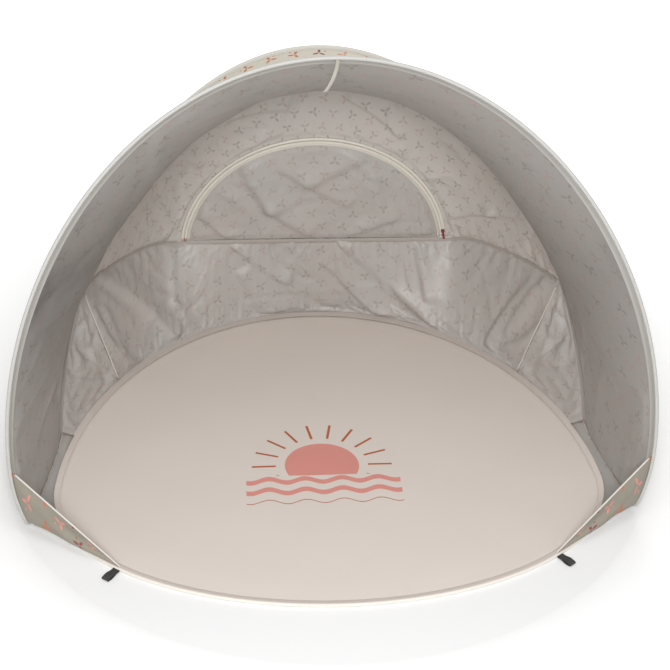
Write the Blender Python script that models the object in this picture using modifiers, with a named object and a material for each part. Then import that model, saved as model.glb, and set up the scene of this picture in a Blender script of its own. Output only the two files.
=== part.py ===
"""Pop-up beach tent: two closed spring-wire hoops sleeved in binding, with sewn fabric panels."""
import bpy
import bmesh
import math
from mathutils import Matrix, Vector

# Floor outline, metres: half width at the widest line, and depth in front of it and behind it
FLOOR_HALF_WIDTH = 0.750
FLOOR_FRONT_DEPTH = 0.485
FLOOR_REAR_DEPTH = 0.940
FLOOR_STATIONS = 72
FLOOR_THICKNESS = 0.0008

# Front arch of the canopy hoop
FRONT_HALF_WIDTH = 0.820
FRONT_WIDEST_HEIGHT = 0.210
FRONT_TOP_HEIGHT = 1.155
FRONT_FOOT_HALF_WIDTH = 0.740
FRONT_LEG_SETBACK = -0.188
FRONT_TOP_SETBACK = 0.110
FRONT_ARCH_BELLY = 0.200
FRONT_BEND = 0.052
FRONT_PATH_STEPS = 40

# Rear arch of the canopy hoop, in a plane that leans back
REAR_HALF_WIDTH = 0.755
REAR_TOP_HEIGHT = 0.972
REAR_LEG_SETBACK = 0.200
REAR_TOP_SETBACK = 0.785
REAR_BEND = 0.045
REAR_PATH_STEPS = 80
BEND_STEPS = 20
ARCH_STATIONS = 44
RUN_STATIONS = 5
RUN_TUCK = 0.006
RUN_STEPS = 20
RUN_FINE_STEPS = 200
RIM_STEPS = 100

# Wire, its crimped joint, and the binding folded round it
WIRE_RADIUS = 0.00175
WIRE_END_GAP = 0.001
FERRULE_RADIUS = 0.0029
FERRULE_BORE = 0.0021
FERRULE_LENGTH = 0.030
NOSE_RADIUS = 0.0045
NOSE_SIDES = 5
BINDING_THICKNESS = 0.0008
TAIL_LENGTH = 0.018
TAIL_START = 0.006
FOOT_TAIL_LENGTH = 0.0105
TAIL_GAP = 0.0005

# Fabric panels
FABRIC_THICKNESS = 0.0008
EDGE_IN_TAIL = 0.009
FOOT_COLUMN_STEP = 0.0012
SEAM_GAP = 0.0003
SEAT_GAP = 0.0004
BAND_COLUMNS = 9
BAND_SAG_SHARE = 0.14
HEART_HEIGHT_SHARE = 0.3
SAG_FADE_STATIONS = 12
WALL_COLUMNS = 6
WALL_BEND_POWER = 1.7
LOWER_ROWS = 5
SEAM_HEIGHT = 0.290
SEAM_SETBACK = 0.910
SEAM_MIDDLE_COLUMNS = 8
LOWER_BELLY = 0.006
SEAM_STATION = 7
PIPING_FOOT_Y = 0.530
GUSSET_FOOT_Y = 0.245
GUSSET_HALF_ROWS = 4
GUSSET_TOP_STEP = 0.25
GUSSET_TOP_SHARE = 0.92
GUSSET_FIRST_STATION = 1
GUSSET_COLUMNS = 4
PIPING_RADIUS = 0.0020
PIPING_POINTS = 8
PIPING_TOP_END = 0.026
PIPING_FOOT_END = 0.012
PIPING_STAND_OFF_SHARE = 1.1
SEAM_TAPE_UP = 0.003
SEAM_TAPE_DOWN = 0.007
SEAM_STRIP = 0.0075

# Window, its zip and the flap, all in one leaning plane
WINDOW_RADIUS = 0.420
WINDOW_CENTRE_DROP = 0.045
WINDOW_WALL_EDGE = 0.008
WINDOW_FLAT_EDGE = 0.018
MESH_OVERLAP = 0.004
MESH_THICKNESS = 0.0006
TAPE_THICKNESS = 0.0006
TAPE_INNER = 0.0010
TAPE_OUTER = 0.0145
ROW_GAP = 0.00015
ROW_WIDTH = 0.0030
ROW_THICKNESS = 0.0018
FLAP_EDGE = 0.008
FLAP_BOTTOM = 0.0085
ZIP_END_HEIGHT = 0.012
ARC_SEGMENTS = 32

# Zip slider, its pull and the row stops
SLIDER_LENGTH = 0.012
SLIDER_PLATE = 0.0010
SLIDER_WIDTH = 0.0120
SLIDER_FLANGE = 0.0010
SLIDER_PARK_DEG = 79.0
EAR_WIDTH = 0.0012
EAR_SPAN = 0.0058
EAR_HEIGHT = 0.0035
PIN_RADIUS = 0.0007
KNUCKLE_RADIUS = 0.0018
KNUCKLE_BORE = 0.0010
KNUCKLE_WIDTH = 0.0040
NECK_LENGTH = 0.0032
PULL_LENGTH = 0.024
PULL_WIDTH = 0.0070
PULL_THICKNESS = 0.0014
STOP_DEG = 81.2
STOP_LENGTH = 0.005
STOP_HEIGHT = 0.0012

# Front corner flaps and their bound edges
FLAP_TIP_Y = -0.315
FLAP_STATIONS = (0.5, 1.0, 2.0, 2.9)
FLAP_COLUMNS = 6
FLAP_TIP_WIDTH = 0.012
EDGE_BINDING_RADIUS = 0.0022
EDGE_BINDING_POINTS = 8
EDGE_BINDING_END = 0.010

# Webbing peg loops
LOOP_LENGTH = 0.046
LOOP_HEIGHT = 0.0100
LOOP_WIDTH = 0.020
LOOP_STRAP = 0.0014
LOOP_SEWN_HALF = 0.0010
LOOP_SEWN_LENGTH = 0.010
LOOP_BELLY = 0.030
LOOP_EYE_START = 0.0128
LOOP_EYE_CURVE = 0.0142
LOOP_EYE_TIP = 0.00035
REAR_LOOP_HALF_SPACING = 0.440
CURVE_STEPS = 6

# Patches that sew the canopy hoop's feet to the floor, and the ribbon inside the front arch
PATCH_STATIONS = (2, 3)
PATCH_END_SHARE = 0.02
PATCH_CORNER = 0.0074
PATCH_HEIGHT = 0.015
PATCH_OVERHANG = 0.004
RIBBON_LENGTH = 0.085
RIBBON_WIDTH = 0.010
RIBBON_THICKNESS = 0.0008
RIBBON_SWING = 0.020
RIBBON_STEPS = 8
MERGE = 0.00001

# Derived places: the origin is below the middle of the whole tent
WIDEST_Y = -(FLOOR_REAR_DEPTH - FLOOR_FRONT_DEPTH) / 2
HALF_FABRIC = FABRIC_THICKNESS / 2
HALF_BINDING = BINDING_THICKNESS / 2
SLEEVE_RADIUS = NOSE_RADIUS + HALF_BINDING
WIRE_HEIGHT = SLEEVE_RADIUS
TAIL_SPREAD = HALF_FABRIC + TAIL_GAP + HALF_BINDING
FLOOR_TAIL_DROP = NOSE_RADIUS - TAIL_SPREAD
NOSE_FACE = NOSE_RADIUS * math.cos(math.pi / NOSE_SIDES) + HALF_BINDING
NOSE_EDGE = SLEEVE_RADIUS + SEAT_GAP
NOSE_TOP = WIRE_HEIGHT + NOSE_RADIUS * math.sin(2 * math.pi / NOSE_SIDES) + HALF_BINDING
RIM_SEAT = NOSE_TOP + SEAT_GAP

# The window's plane leans from the seam's middle to the rear arch's top
PLANE_LEAN = (REAR_TOP_SETBACK - SEAM_SETBACK) / (REAR_TOP_HEIGHT - SEAM_HEIGHT)
PLANE_UP = Vector((0, PLANE_LEAN, 1)).normalized()
PLANE_IN = Vector((0, -1, PLANE_LEAN)).normalized()
SEAM_MIDDLE = Vector((0, SEAM_SETBACK + WIDEST_Y, SEAM_HEIGHT))
WINDOW_CENTRE = SEAM_MIDDLE - PLANE_UP * WINDOW_CENTRE_DROP
WINDOW_FRAME = Matrix((
    (1, 0, 0, WINDOW_CENTRE.x),
    (0, PLANE_UP.y, PLANE_IN.y, WINDOW_CENTRE.y),
    (0, PLANE_UP.z, PLANE_IN.z, WINDOW_CENTRE.z),
    (0, 0, 0, 1)))


def clear_scene():
    for old in list(bpy.data.objects):
        bpy.data.objects.remove(old, do_unlink=True)


def new_collection(name):
    group = bpy.data.collections.new(name)
    bpy.context.scene.collection.children.link(group)
    return group


def make_material(name, colour, roughness, metallic=0.0):
    material = bpy.data.materials.new(name)
    material.use_nodes = True
    shader = material.node_tree.nodes["Principled BSDF"]
    shader.inputs["Base Color"].default_value = (*colour, 1.0)
    shader.inputs["Roughness"].default_value = roughness
    shader.inputs["Metallic"].default_value = metallic
    return material


def add_object(name, data, material, group=None):
    obj = bpy.data.objects.new(name, data)
    data.materials.append(material)
    (group or TENT).objects.link(obj)
    return obj


def solidify(obj, thickness):
    shell = obj.modifiers.new("thickness", "SOLIDIFY")
    shell.thickness = thickness
    shell.offset = 0.0
    shell.use_even_offset = True
    return shell


def sheet(name, rows, thickness, material, closed=False):
    """An open grid through rows of points, given its cloth thickness by Solidify."""
    rows = [list(row) for row in rows]
    if closed:
        rows.append(rows[0])
    across, along = len(rows[0]) - 1, len(rows) - 1
    bm = bmesh.new()
    bmesh.ops.create_grid(bm, x_segments=across, y_segments=along, size=1.0)
    for vert in bm.verts:
        i = round((vert.co.y + 1) / 2 * along)
        j = round((vert.co.x + 1) / 2 * across)
        vert.co = rows[i][j]
    if closed:
        bmesh.ops.remove_doubles(bm, verts=bm.verts, dist=MERGE)
    mesh = bpy.data.meshes.new(name)
    bm.to_mesh(mesh)
    bm.free()
    mesh.shade_smooth()
    obj = add_object(name, mesh, material)
    solidify(obj, thickness)
    return obj


def tube(name, points, radius, material, resolution=1, cyclic=False):
    """A round wire or piping: a curve with a bevel and filled caps."""
    curve = bpy.data.curves.new(name, "CURVE")
    curve.dimensions = "3D"
    curve.bevel_depth = radius
    curve.bevel_resolution = resolution
    curve.use_fill_caps = True
    spline = curve.splines.new("POLY")
    spline.points.add(len(points) - 1)
    for knot, place in zip(spline.points, points):
        knot.co = (*place, 1.0)
    spline.use_cyclic_u = cyclic
    return add_object(name, curve, material)


def plate(name, outlines, thickness, material, matrix):
    """A flat outline, with any hole in it, extruded to its thickness."""
    curve = bpy.data.curves.new(name, "CURVE")
    curve.dimensions = "2D"
    curve.fill_mode = "BOTH"
    curve.extrude = thickness / 2
    for outline in outlines:
        spline = curve.splines.new("POLY")
        spline.points.add(len(outline) - 1)
        for knot, place in zip(spline.points, outline):
            knot.co = (place[0], place[1], 0.0, 1.0)
        spline.use_cyclic_u = True
    obj = add_object(name, curve, material)
    obj.matrix_world = matrix
    return obj


def block(name, size, centre, matrix, material, group=None):
    bm = bmesh.new()
    bmesh.ops.create_cube(bm, size=1.0)
    for vert in bm.verts:
        vert.co = Vector(centre) + Vector(v * s for v, s in zip(vert.co, size))
    mesh = bpy.data.meshes.new(name)
    bm.to_mesh(mesh)
    bm.free()
    obj = add_object(name, mesh, material, group)
    obj.matrix_world = matrix
    return obj


def rod(name, radius, length, centre, matrix, material, group=None, sides=16):
    """A round bar along the local X axis."""
    bm = bmesh.new()
    bmesh.ops.create_cone(bm, cap_ends=True, segments=sides, radius1=radius, radius2=radius,
                          depth=length)
    turn = Matrix.Translation(centre) @ Matrix.Rotation(math.pi / 2, 4, "Y")
    bmesh.ops.transform(bm, matrix=turn, verts=bm.verts)
    mesh = bpy.data.meshes.new(name)
    bm.to_mesh(mesh)
    bm.free()
    obj = add_object(name, mesh, material, group)
    obj.matrix_world = matrix
    return obj


def combine(target, tool, operation):
    """A Boolean with a hidden piece, which goes in the cutters' collection."""
    boolean = target.modifiers.new(operation.lower(), "BOOLEAN")
    boolean.operation = operation
    boolean.object = tool
    tool.hide_render = True
    tool.display_type = "WIRE"
    return boolean


def resample(path, count):
    """The same path as count + 1 points at even distances."""
    lengths = [0.0]
    for a, b in zip(path, path[1:]):
        lengths.append(lengths[-1] + (b - a).length)
    points = []
    k = 0
    for i in range(count + 1):
        goal = lengths[-1] * i / count
        while k < len(path) - 2 and lengths[k + 1] < goal:
            k += 1
        span = lengths[k + 1] - lengths[k]
        points.append(path[k].lerp(path[k + 1], (goal - lengths[k]) / span))
    return points


def bezier(a, corner, b, steps):
    points = []
    for i in range(steps + 1):
        t = i / steps
        points.append(a * (1 - t) ** 2 + corner * (2 * t * (1 - t)) + b * t ** 2)
    return points


def rim_chord(angle):
    """The middle of the floor hoop's straight step at an angle, and the way out from it."""
    k = int(angle % (2 * math.pi) / (2 * math.pi) * FLOOR_STATIONS)
    a, b = FLOOR_LINE[k], FLOOR_LINE[(k + 1) % FLOOR_STATIONS]
    middle = a.lerp(b, 0.5)
    return middle, (b - a).normalized().cross(Vector((0, 0, 1)))


def mirrored(points):
    return [Vector((-p.x, p.y, p.z)) for p in points]


def floor_point(angle, inset=0.0, height=0.0):
    """A point of the floor hoop: angle 0 is at +X, a quarter turn is at the rear."""
    depth = FLOOR_REAR_DEPTH if math.sin(angle) > 0 else FLOOR_FRONT_DEPTH
    place = Vector((FLOOR_HALF_WIDTH * math.cos(angle), depth * math.sin(angle), 0))
    slope = Vector((math.cos(angle) / FLOOR_HALF_WIDTH, math.sin(angle) / depth, 0)).normalized()
    place -= slope * inset
    return place + Vector((0, WIDEST_Y, height))


def rim_angle(y_from_widest, right):
    """The floor hoop's angle where it passes a given distance behind its widest line."""
    depth = FLOOR_REAR_DEPTH if y_from_widest > 0 else FLOOR_FRONT_DEPTH
    angle = math.asin(y_from_widest / depth)
    return angle if right else math.pi - angle


def tangents(path, before, after):
    """The direction at each point, given the neighbours beyond the two ends."""
    chain = [before] + path + [after]
    return [(chain[i + 2] - chain[i]).normalized() for i in range(len(path))]


def square_to(direction, tangent):
    """The part of a direction that is square to a tangent, as a unit vector."""
    return (direction - tangent * direction.dot(tangent)).normalized()


def sleeve_section(place, inward, tangent, tail_drop=0.0, tail=TAIL_LENGTH):
    """One fold of binding: a nose round the wire and two tails either side of the cloth."""
    side = tangent.cross(inward).normalized()
    shape = [(tail, TAIL_SPREAD - tail_drop), (TAIL_START, TAIL_SPREAD - tail_drop)]
    for k in range(1, NOSE_SIDES):
        turn = 2 * math.pi * k / NOSE_SIDES
        shape.append((NOSE_RADIUS * math.cos(turn), NOSE_RADIUS * math.sin(turn)))
    shape += [(TAIL_START, -TAIL_SPREAD - tail_drop), (tail, -TAIL_SPREAD - tail_drop)]
    return [place + inward * n + side * b for n, b in shape]


def front_half_path():
    """The front arch from its left foot's bend up to its top, as a fine path."""
    height = FRONT_TOP_HEIGHT

    def at(x, z):
        u = z / height
        y = FRONT_LEG_SETBACK + (FRONT_TOP_SETBACK - FRONT_LEG_SETBACK) * u
        y -= FRONT_ARCH_BELLY * u * (1 - u)
        return Vector((-x, y + WIDEST_Y, z))

    leg = []
    for i in range(FRONT_PATH_STEPS + 1):
        z = FRONT_BEND + (FRONT_WIDEST_HEIGHT - FRONT_BEND) * i / FRONT_PATH_STEPS
        rise = (FRONT_WIDEST_HEIGHT - z) / FRONT_WIDEST_HEIGHT
        spread = (FRONT_HALF_WIDTH - FRONT_FOOT_HALF_WIDTH) * math.sqrt(1 - rise ** 2)
        leg.append(at(FRONT_FOOT_HALF_WIDTH + spread, z))
    arch = []
    for i in range(1, FRONT_PATH_STEPS + 1):
        t = math.pi / 2 * i / FRONT_PATH_STEPS
        z = FRONT_WIDEST_HEIGHT + (height - FRONT_WIDEST_HEIGHT) * math.sin(t)
        arch.append(at(FRONT_HALF_WIDTH * math.cos(t), z))
    foot = leg[0] + Vector((0, FRONT_BEND, WIRE_HEIGHT - FRONT_BEND))
    corner = Vector((leg[0].x, leg[0].y, WIRE_HEIGHT))
    return bezier(foot, corner, leg[0], BEND_STEPS)[:-1] + leg + arch


def rear_half_path():
    """The rear arch from its left foot's bend up to its top."""
    lean = (REAR_TOP_SETBACK - REAR_LEG_SETBACK) / REAR_TOP_HEIGHT

    def at(x, z):
        return Vector((-x, REAR_LEG_SETBACK + lean * z + WIDEST_Y, z))

    lift = REAR_BEND / math.sqrt(1 + lean ** 2)
    start = math.asin((WIRE_HEIGHT + lift) / REAR_TOP_HEIGHT)
    arch = []
    for i in range(REAR_PATH_STEPS + 1):
        t = start + (math.pi / 2 - start) * i / REAR_PATH_STEPS
        arch.append(at(REAR_HALF_WIDTH * math.cos(t), REAR_TOP_HEIGHT * math.sin(t)))
    corner = at(REAR_HALF_WIDTH, WIRE_HEIGHT)
    foot = corner - Vector((0, REAR_BEND, 0))
    return bezier(foot, corner, arch[0], BEND_STEPS)[:-1] + arch


def whole_arch(half):
    return resample(half + mirrored(half[:-1])[::-1], ARCH_STATIONS)


def run_path(front_foot, rear_foot):
    """The stretch of the canopy hoop that lies on the ground beside the floor."""
    middle = front_foot.lerp(rear_foot, 0.5)
    middle.x -= math.copysign(RUN_TUCK, middle.x)
    return resample(bezier(front_foot, middle, rear_foot, RUN_STEPS), RUN_STATIONS)


def band_interior(station, front, rear):
    """The canopy's cloth between a pair of arch stations, sagging inward above the feet."""
    climb = min(1.0, min(station, ARCH_STATIONS - station) / SAG_FADE_STATIONS)
    fade = climb * climb * (3 - 2 * climb)
    chord = rear - front
    heart = Vector((0, front.y + chord.y / 2, HEART_HEIGHT_SHARE * FRONT_TOP_HEIGHT))
    inward = square_to(heart - front.lerp(rear, 0.5), chord.normalized())
    places = []
    for k in range(1, BAND_COLUMNS):
        v = k / BAND_COLUMNS
        sag = 4 * v * (1 - v) * BAND_SAG_SHARE * fade * chord.length
        places.append(front + chord * v + inward * sag)
    return places


clear_scene()
TENT = new_collection("beach_tent")
CUTTERS = new_collection("beach_tent_cutters")

CANVAS = make_material("printed_canvas", (0.66, 0.62, 0.54), 0.8)
FLOOR_CLOTH = make_material("floor_cloth", (0.72, 0.64, 0.59), 0.75)
BINDING = make_material("binding", (0.76, 0.74, 0.68), 0.7)
STEEL = make_material("spring_steel", (0.55, 0.55, 0.56), 0.35, 1.0)
NET = make_material("insect_net", (0.80, 0.79, 0.75), 0.8)
ZIP_PLASTIC = make_material("zip_plastic", (0.78, 0.75, 0.68), 0.45)
PULL_RED = make_material("pull_red", (0.28, 0.04, 0.05), 0.5)
WEBBING = make_material("black_webbing", (0.02, 0.02, 0.02), 0.7)

# The two hoops' centre lines
FLOOR_LINE = [floor_point(2 * math.pi * k / FLOOR_STATIONS, 0, WIRE_HEIGHT)
              for k in range(FLOOR_STATIONS)]
FRONT_LINE = whole_arch(front_half_path())
REAR_LINE = whole_arch(rear_half_path())
RUN_LEFT = run_path(FRONT_LINE[0], REAR_LINE[0])
RUN_RIGHT = run_path(FRONT_LINE[-1], REAR_LINE[-1])
FRONT_TANGENTS = tangents(FRONT_LINE, RUN_LEFT[1], RUN_RIGHT[1])
REAR_TANGENTS = tangents(REAR_LINE, RUN_LEFT[-2], RUN_RIGHT[-2])
FLOOR_TANGENTS = tangents(FLOOR_LINE, FLOOR_LINE[-1], FLOOR_LINE[0])


def broken_loop(path):
    """A closed wire whose two ends meet, a little apart, in the middle of one straight step."""
    middle = path[0].lerp(path[-1], 0.5)
    step = (path[0] - path[-1]).normalized() * WIRE_END_GAP / 2
    return [middle + step] + path + [middle - step], middle, step.normalized()


def build_wires():
    loop, middle, along = broken_loop(FLOOR_LINE)
    tube("floor_hoop_wire", loop, WIRE_RADIUS, STEEL)
    build_ferrule("floor_hoop_ferrule", middle, along)
    top = ARCH_STATIONS // 2
    ring = REAR_LINE[top + 1:] + RUN_RIGHT[::-1][1:-1] + FRONT_LINE[::-1]
    ring += RUN_LEFT[1:-1] + REAR_LINE[:top + 1]
    loop, middle, along = broken_loop(ring)
    tube("canopy_hoop_wire", loop, WIRE_RADIUS, STEEL)
    build_ferrule("canopy_hoop_ferrule", middle, along)


def build_ferrule(name, middle, along):
    matrix = Matrix.Translation(middle) @ along.to_track_quat("X", "Z").to_matrix().to_4x4()
    body = rod(name, FERRULE_RADIUS, FERRULE_LENGTH, (0, 0, 0), matrix, STEEL)
    bore = rod(name + "_bore", FERRULE_BORE, FERRULE_LENGTH * 2, (0, 0, 0), matrix, STEEL, CUTTERS)
    combine(body, bore, "DIFFERENCE")


def band_grid():
    """The roof and side cloth as rows from the left foot over the top to the right foot."""
    rows = []
    stations = zip(FRONT_LINE, REAR_LINE, FRONT_TANGENTS, REAR_TANGENTS)
    for i, (front, rear, ft, rt) in enumerate(stations):
        inside = band_interior(i, front, rear)
        into_front = square_to(inside[0] - front, ft)
        into_rear = square_to(inside[-1] - rear, rt)
        reach = TAIL_LENGTH + BINDING_THICKNESS * 2
        rows.append([front + into_front * EDGE_IN_TAIL, front + into_front * reach] + inside
                    + [rear + into_rear * reach, rear + into_rear * EDGE_IN_TAIL])
    for end, step, run in ((0, 1, RUN_LEFT), (-1, -1, RUN_RIGHT)):
        rows[end] = foot_row(run, rows[(end + step) % len(rows)])
    return rows


def foot_row(run, above):
    """The band's lowest row, held in the tail of the ground run."""
    total = sum((b - a).length for a, b in zip(run, run[1:]))
    first = FOOT_COLUMN_STEP / total
    shares = [0.0, first] + [k / BAND_COLUMNS for k in range(1, BAND_COLUMNS)] + [1 - first, 1.0]
    fine = resample(run, RUN_FINE_STEPS)
    along = (run[-1] - run[0]).normalized()
    ends = (square_to(above[1] - run[0], along), square_to(above[-2] - run[-1], along))
    row = []
    for share in shares:
        place = edge_point(fine, share * RUN_FINE_STEPS)
        row.append(place + ends[0].lerp(ends[1], share).normalized() * EDGE_IN_TAIL)
    return row


def build_canopy():
    rows = band_grid()
    sheet("roof_band", rows, FABRIC_THICKNESS, CANVAS)
    for name, line, tangent_list, column, side in (
            ("canopy_sleeve_front", FRONT_LINE, FRONT_TANGENTS, 1, 0),
            ("canopy_sleeve_rear", REAR_LINE, REAR_TANGENTS, -2, -1)):
        sections = []
        for i, (place, tangent) in enumerate(zip(line, tangent_list)):
            at_foot = i in (0, ARCH_STATIONS)
            held = rows[i][side] if at_foot else rows[i][column]
            tail = FOOT_TAIL_LENGTH if at_foot else TAIL_LENGTH
            inward = square_to(held - place, tangent)
            sections.append(sleeve_section(place, inward, tangent, 0.0, tail))
        sheet(name, sections, BINDING_THICKNESS, BINDING)
    for name, run, row, end in (("foot_sleeve_left", RUN_LEFT, rows[0], 1),
                                ("foot_sleeve_right", RUN_RIGHT, rows[-1], -2)):
        line = [place.copy() for place in run]
        along = tangents(run, FRONT_LINE[end], REAR_LINE[end])
        line[0] += along[0] * SEAM_GAP * 2
        line[-1] -= along[-1] * SEAM_GAP * 2
        ends = (row[0] - run[0], row[-1] - run[-1])
        sections = []
        for i, (place, tangent) in enumerate(zip(line, along)):
            aim = ends[0].lerp(ends[1], i / RUN_STATIONS)
            inward = square_to(aim, tangent)
            sections.append(sleeve_section(place, inward, tangent, 0.0, FOOT_TAIL_LENGTH))
        sheet(name, sections, BINDING_THICKNESS, BINDING)
    return rows


def build_floor():
    sections = []
    for place, tangent in zip(FLOOR_LINE, FLOOR_TANGENTS):
        inward = Vector((0, 0, 1)).cross(tangent).normalized()
        sections.append(sleeve_section(place, inward, -tangent, -FLOOR_TAIL_DROP))
    sheet("floor_hoop_sleeve", sections, BINDING_THICKNESS, BINDING, closed=True)
    outline = []
    for place, tangent in zip(FLOOR_LINE, FLOOR_TANGENTS):
        outline.append(place + Vector((0, 0, 1)).cross(tangent).normalized() * EDGE_IN_TAIL)
    level = Matrix.Translation((0, 0, WIRE_HEIGHT - FLOOR_TAIL_DROP))
    plate("floor_panel", [outline], FLOOR_THICKNESS, FLOOR_CLOTH, level)


def pulled_in(rows, gap, first=False, last=False, start=False, end=False):
    """The same grid with chosen edges drawn in by a gap: first and last rows, start and end columns."""
    rows = [list(row) for row in rows]

    def toward(a, b):
        return a + (b - a).normalized() * gap

    if first:
        rows[0] = [toward(a, b) for a, b in zip(rows[0], rows[1])]
    if last:
        rows[-1] = [toward(a, b) for a, b in zip(rows[-1], rows[-2])]
    if start:
        for row in rows:
            row[0] = toward(row[0], row[1])
    if end:
        for row in rows:
            row[-1] = toward(row[-1], row[-2])
    return rows


def in_window(radius, angle, lift=0.0):
    """A point in the window's plane: angle 0 is straight up, lift is toward the cabin."""
    place = WINDOW_CENTRE + Vector((radius * math.sin(angle), 0, 0))
    return place + PLANE_UP * (radius * math.cos(angle)) + PLANE_IN * lift


def end_angle(radius, height):
    """The angle where an arc meets a level a given height above the seam."""
    return math.acos((WINDOW_CENTRE_DROP + height) / radius)


def upper_wall_grid():
    """Rows from the left seam end over the window to the right seam end, window to arch."""
    span = range(SEAM_STATION, ARCH_STATIONS - SEAM_STATION + 1)
    rows = []
    for n, i in enumerate(span):
        flat_strip = []
        for radius in (WINDOW_RADIUS + WINDOW_WALL_EDGE, WINDOW_RADIUS + WINDOW_FLAT_EDGE):
            spread = end_angle(radius, 0.0)
            flat_strip.append(in_window(radius, -spread + 2 * spread * n / (len(span) - 1)))
        inner = flat_strip[-1]
        outer = REAR_LINE[i]
        flat = inner.y + (outer.z - inner.z) * PLANE_LEAN
        row = flat_strip[:1]
        for k in range(WALL_COLUMNS):
            v = k / WALL_COLUMNS
            place = inner.lerp(outer, v)
            place.y = inner.y + (place.z - inner.z) * PLANE_LEAN
            place.y += (outer.y - flat) * v ** WALL_BEND_POWER
            row.append(place)
        edge = square_to(row[-1] - outer, REAR_TANGENTS[i])
        rows.append(row + [outer + edge * NOSE_EDGE])
    return rows


def rim_seat(angle):
    """Where a wall's foot stands on the floor binding."""
    return floor_point(angle, 0, RIM_SEAT)


def lower_wall_grid(upper):
    """Rows from the seam down to the floor rim, left to right."""
    left = upper[0][::-1]
    right = upper[-1]
    middle = [left[-1].lerp(right[0], k / SEAM_MIDDLE_COLUMNS) for k in range(1, SEAM_MIDDLE_COLUMNS)]
    top = left + middle + right
    a, b = rim_angle(PIPING_FOOT_Y, False), rim_angle(PIPING_FOOT_Y, True)
    rim = resample([rim_seat(a + (b - a) * k / RIM_STEPS) for k in range(RIM_STEPS + 1)], RIM_STEPS)
    width = top[-1].x - top[0].x
    bottom = [rim[round((p.x - top[0].x) / width * RIM_STEPS)] for p in top]
    strip = SEAM_STRIP / SEAM_HEIGHT
    rows = []
    for t in [0.0, strip] + [r / LOWER_ROWS for r in range(1, LOWER_ROWS + 1)]:
        row = []
        for p, q in zip(top, bottom):
            u = (p.x - top[0].x) / width
            belly = LOWER_BELLY * (4 * t * (1 - t)) * (4 * u * (1 - u))
            row.append(p.lerp(q, t) + Vector((0, belly, 0)))
        rows.append(row)
    return rows


def edge_point(edge, place):
    """A point along a polyline, by its point number and the fraction beyond it."""
    k = min(int(place), len(edge) - 2)
    return edge[k].lerp(edge[k + 1], place - k)


def gusset_grid(right, edge):
    """Rows from the rear leg to the floor rim, then to the lower wall's straight side edge."""
    line = REAR_LINE[::-1] if right else REAR_LINE
    lean = REAR_TANGENTS[::-1] if right else REAR_TANGENTS
    a, b = rim_angle(GUSSET_FOOT_Y, right), rim_angle(PIPING_FOOT_Y, right)
    top = SEAM_STATION - GUSSET_TOP_STEP
    rows = []
    for n in range(2 * GUSSET_HALF_ROWS + 1):
        share = n / GUSSET_HALF_ROWS
        station = GUSSET_FIRST_STATION + (top - GUSSET_FIRST_STATION) * share / 2
        leg = edge_point(line, station)
        if share <= 1.0:
            far = rim_seat(a + (b - a) * share)
        else:
            far = edge[-1].lerp(edge[0], (share - 1.0) * GUSSET_TOP_SHARE)
        inner = [leg.lerp(far, k / GUSSET_COLUMNS) for k in range(1, GUSSET_COLUMNS)]
        start = leg + square_to(far - leg, lean[round(station)]) * NOSE_EDGE
        rows.append([start] + inner + [far])
    return rows


def seam_tape(name, seam, above, below, ends):
    """A tape sewn over a seam on the cabin side, bent to the cloth above and below it."""
    lift = HALF_FABRIC + SEAM_GAP + TAPE_THICKNESS / 2
    rows = []
    for i in range(ends, len(seam) - ends):
        place = seam[i]
        up, down = (above[i] - place).normalized(), (below[i] - place).normalized()
        before, after = place - seam[i - 1], seam[i + 1] - place
        over = mitre([before.cross(up), after.cross(up)])
        under = mitre([down.cross(before), down.cross(after)])
        rows.append([place + up * SEAM_TAPE_UP + over * lift,
                     place + mitre([over, under]) * lift,
                     place + down * SEAM_TAPE_DOWN + under * lift])
    return sheet(name, rows, TAPE_THICKNESS, BINDING)


def mitre(normals):
    """The offset direction where two faces meet, long enough to clear both by one unit."""
    first, second = (normal.normalized() for normal in normals)
    middle = (first + second).normalized()
    return middle / middle.dot(first)


def piping(name, edge, inward):
    """A corded seam: a round piping on the cabin side of a straight seam."""
    a, b = edge[0], edge[-1]
    along = (b - a).normalized()
    lift = inward * (HALF_FABRIC + SEAT_GAP + PIPING_RADIUS) * PIPING_STAND_OFF_SHARE
    a, b = a + along * PIPING_TOP_END + lift, b - along * PIPING_FOOT_END + lift
    return tube(name, [a.lerp(b, k / PIPING_POINTS) for k in range(PIPING_POINTS + 1)],
                PIPING_RADIUS, BINDING)


def build_walls():
    upper = upper_wall_grid()
    lower = lower_wall_grid(upper)
    sheet("back_wall_upper", pulled_in(upper, SEAM_GAP, first=True, last=True),
          FABRIC_THICKNESS, CANVAS)
    sheet("back_wall_lower", pulled_in(lower, SEAM_GAP, first=True, start=True, end=True),
          FABRIC_THICKNESS, CANVAS)
    seam = lower[0]
    count = len(upper[0])
    above = upper[1][::-1] + [place + PLANE_UP for place in seam[count:-count]] + upper[-2]
    seam_tape("back_seam_tape", seam, above, lower[1], 1)
    for side, column, right in (("left", 0, False), ("right", -1, True)):
        edge = [row[column] for row in lower]
        rows = pulled_in(gusset_grid(right, edge), SEAM_GAP, end=True)
        sheet("back_gusset_" + side, rows, FABRIC_THICKNESS, CANVAS)
        middle = lower[len(lower) // 2]
        across = middle[1 if column == 0 else -2] - middle[column]
        inward = across.normalized() + Vector((0, -1, 0))
        piping("corner_piping_" + side, edge,
               square_to(inward, (edge[-1] - edge[0]).normalized()))


def arc_strip(name, inner, outer, lift, thickness, material, height=ZIP_END_HEIGHT):
    """A flat strip round the window's arch, in the window's plane."""
    spread = end_angle(inner, height)
    rows = []
    for k in range(ARC_SEGMENTS + 1):
        angle = -spread + 2 * spread * k / ARC_SEGMENTS
        rows.append([in_window(inner, angle, lift), in_window(outer, angle, lift)])
    return sheet(name, rows, thickness, material)


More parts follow.
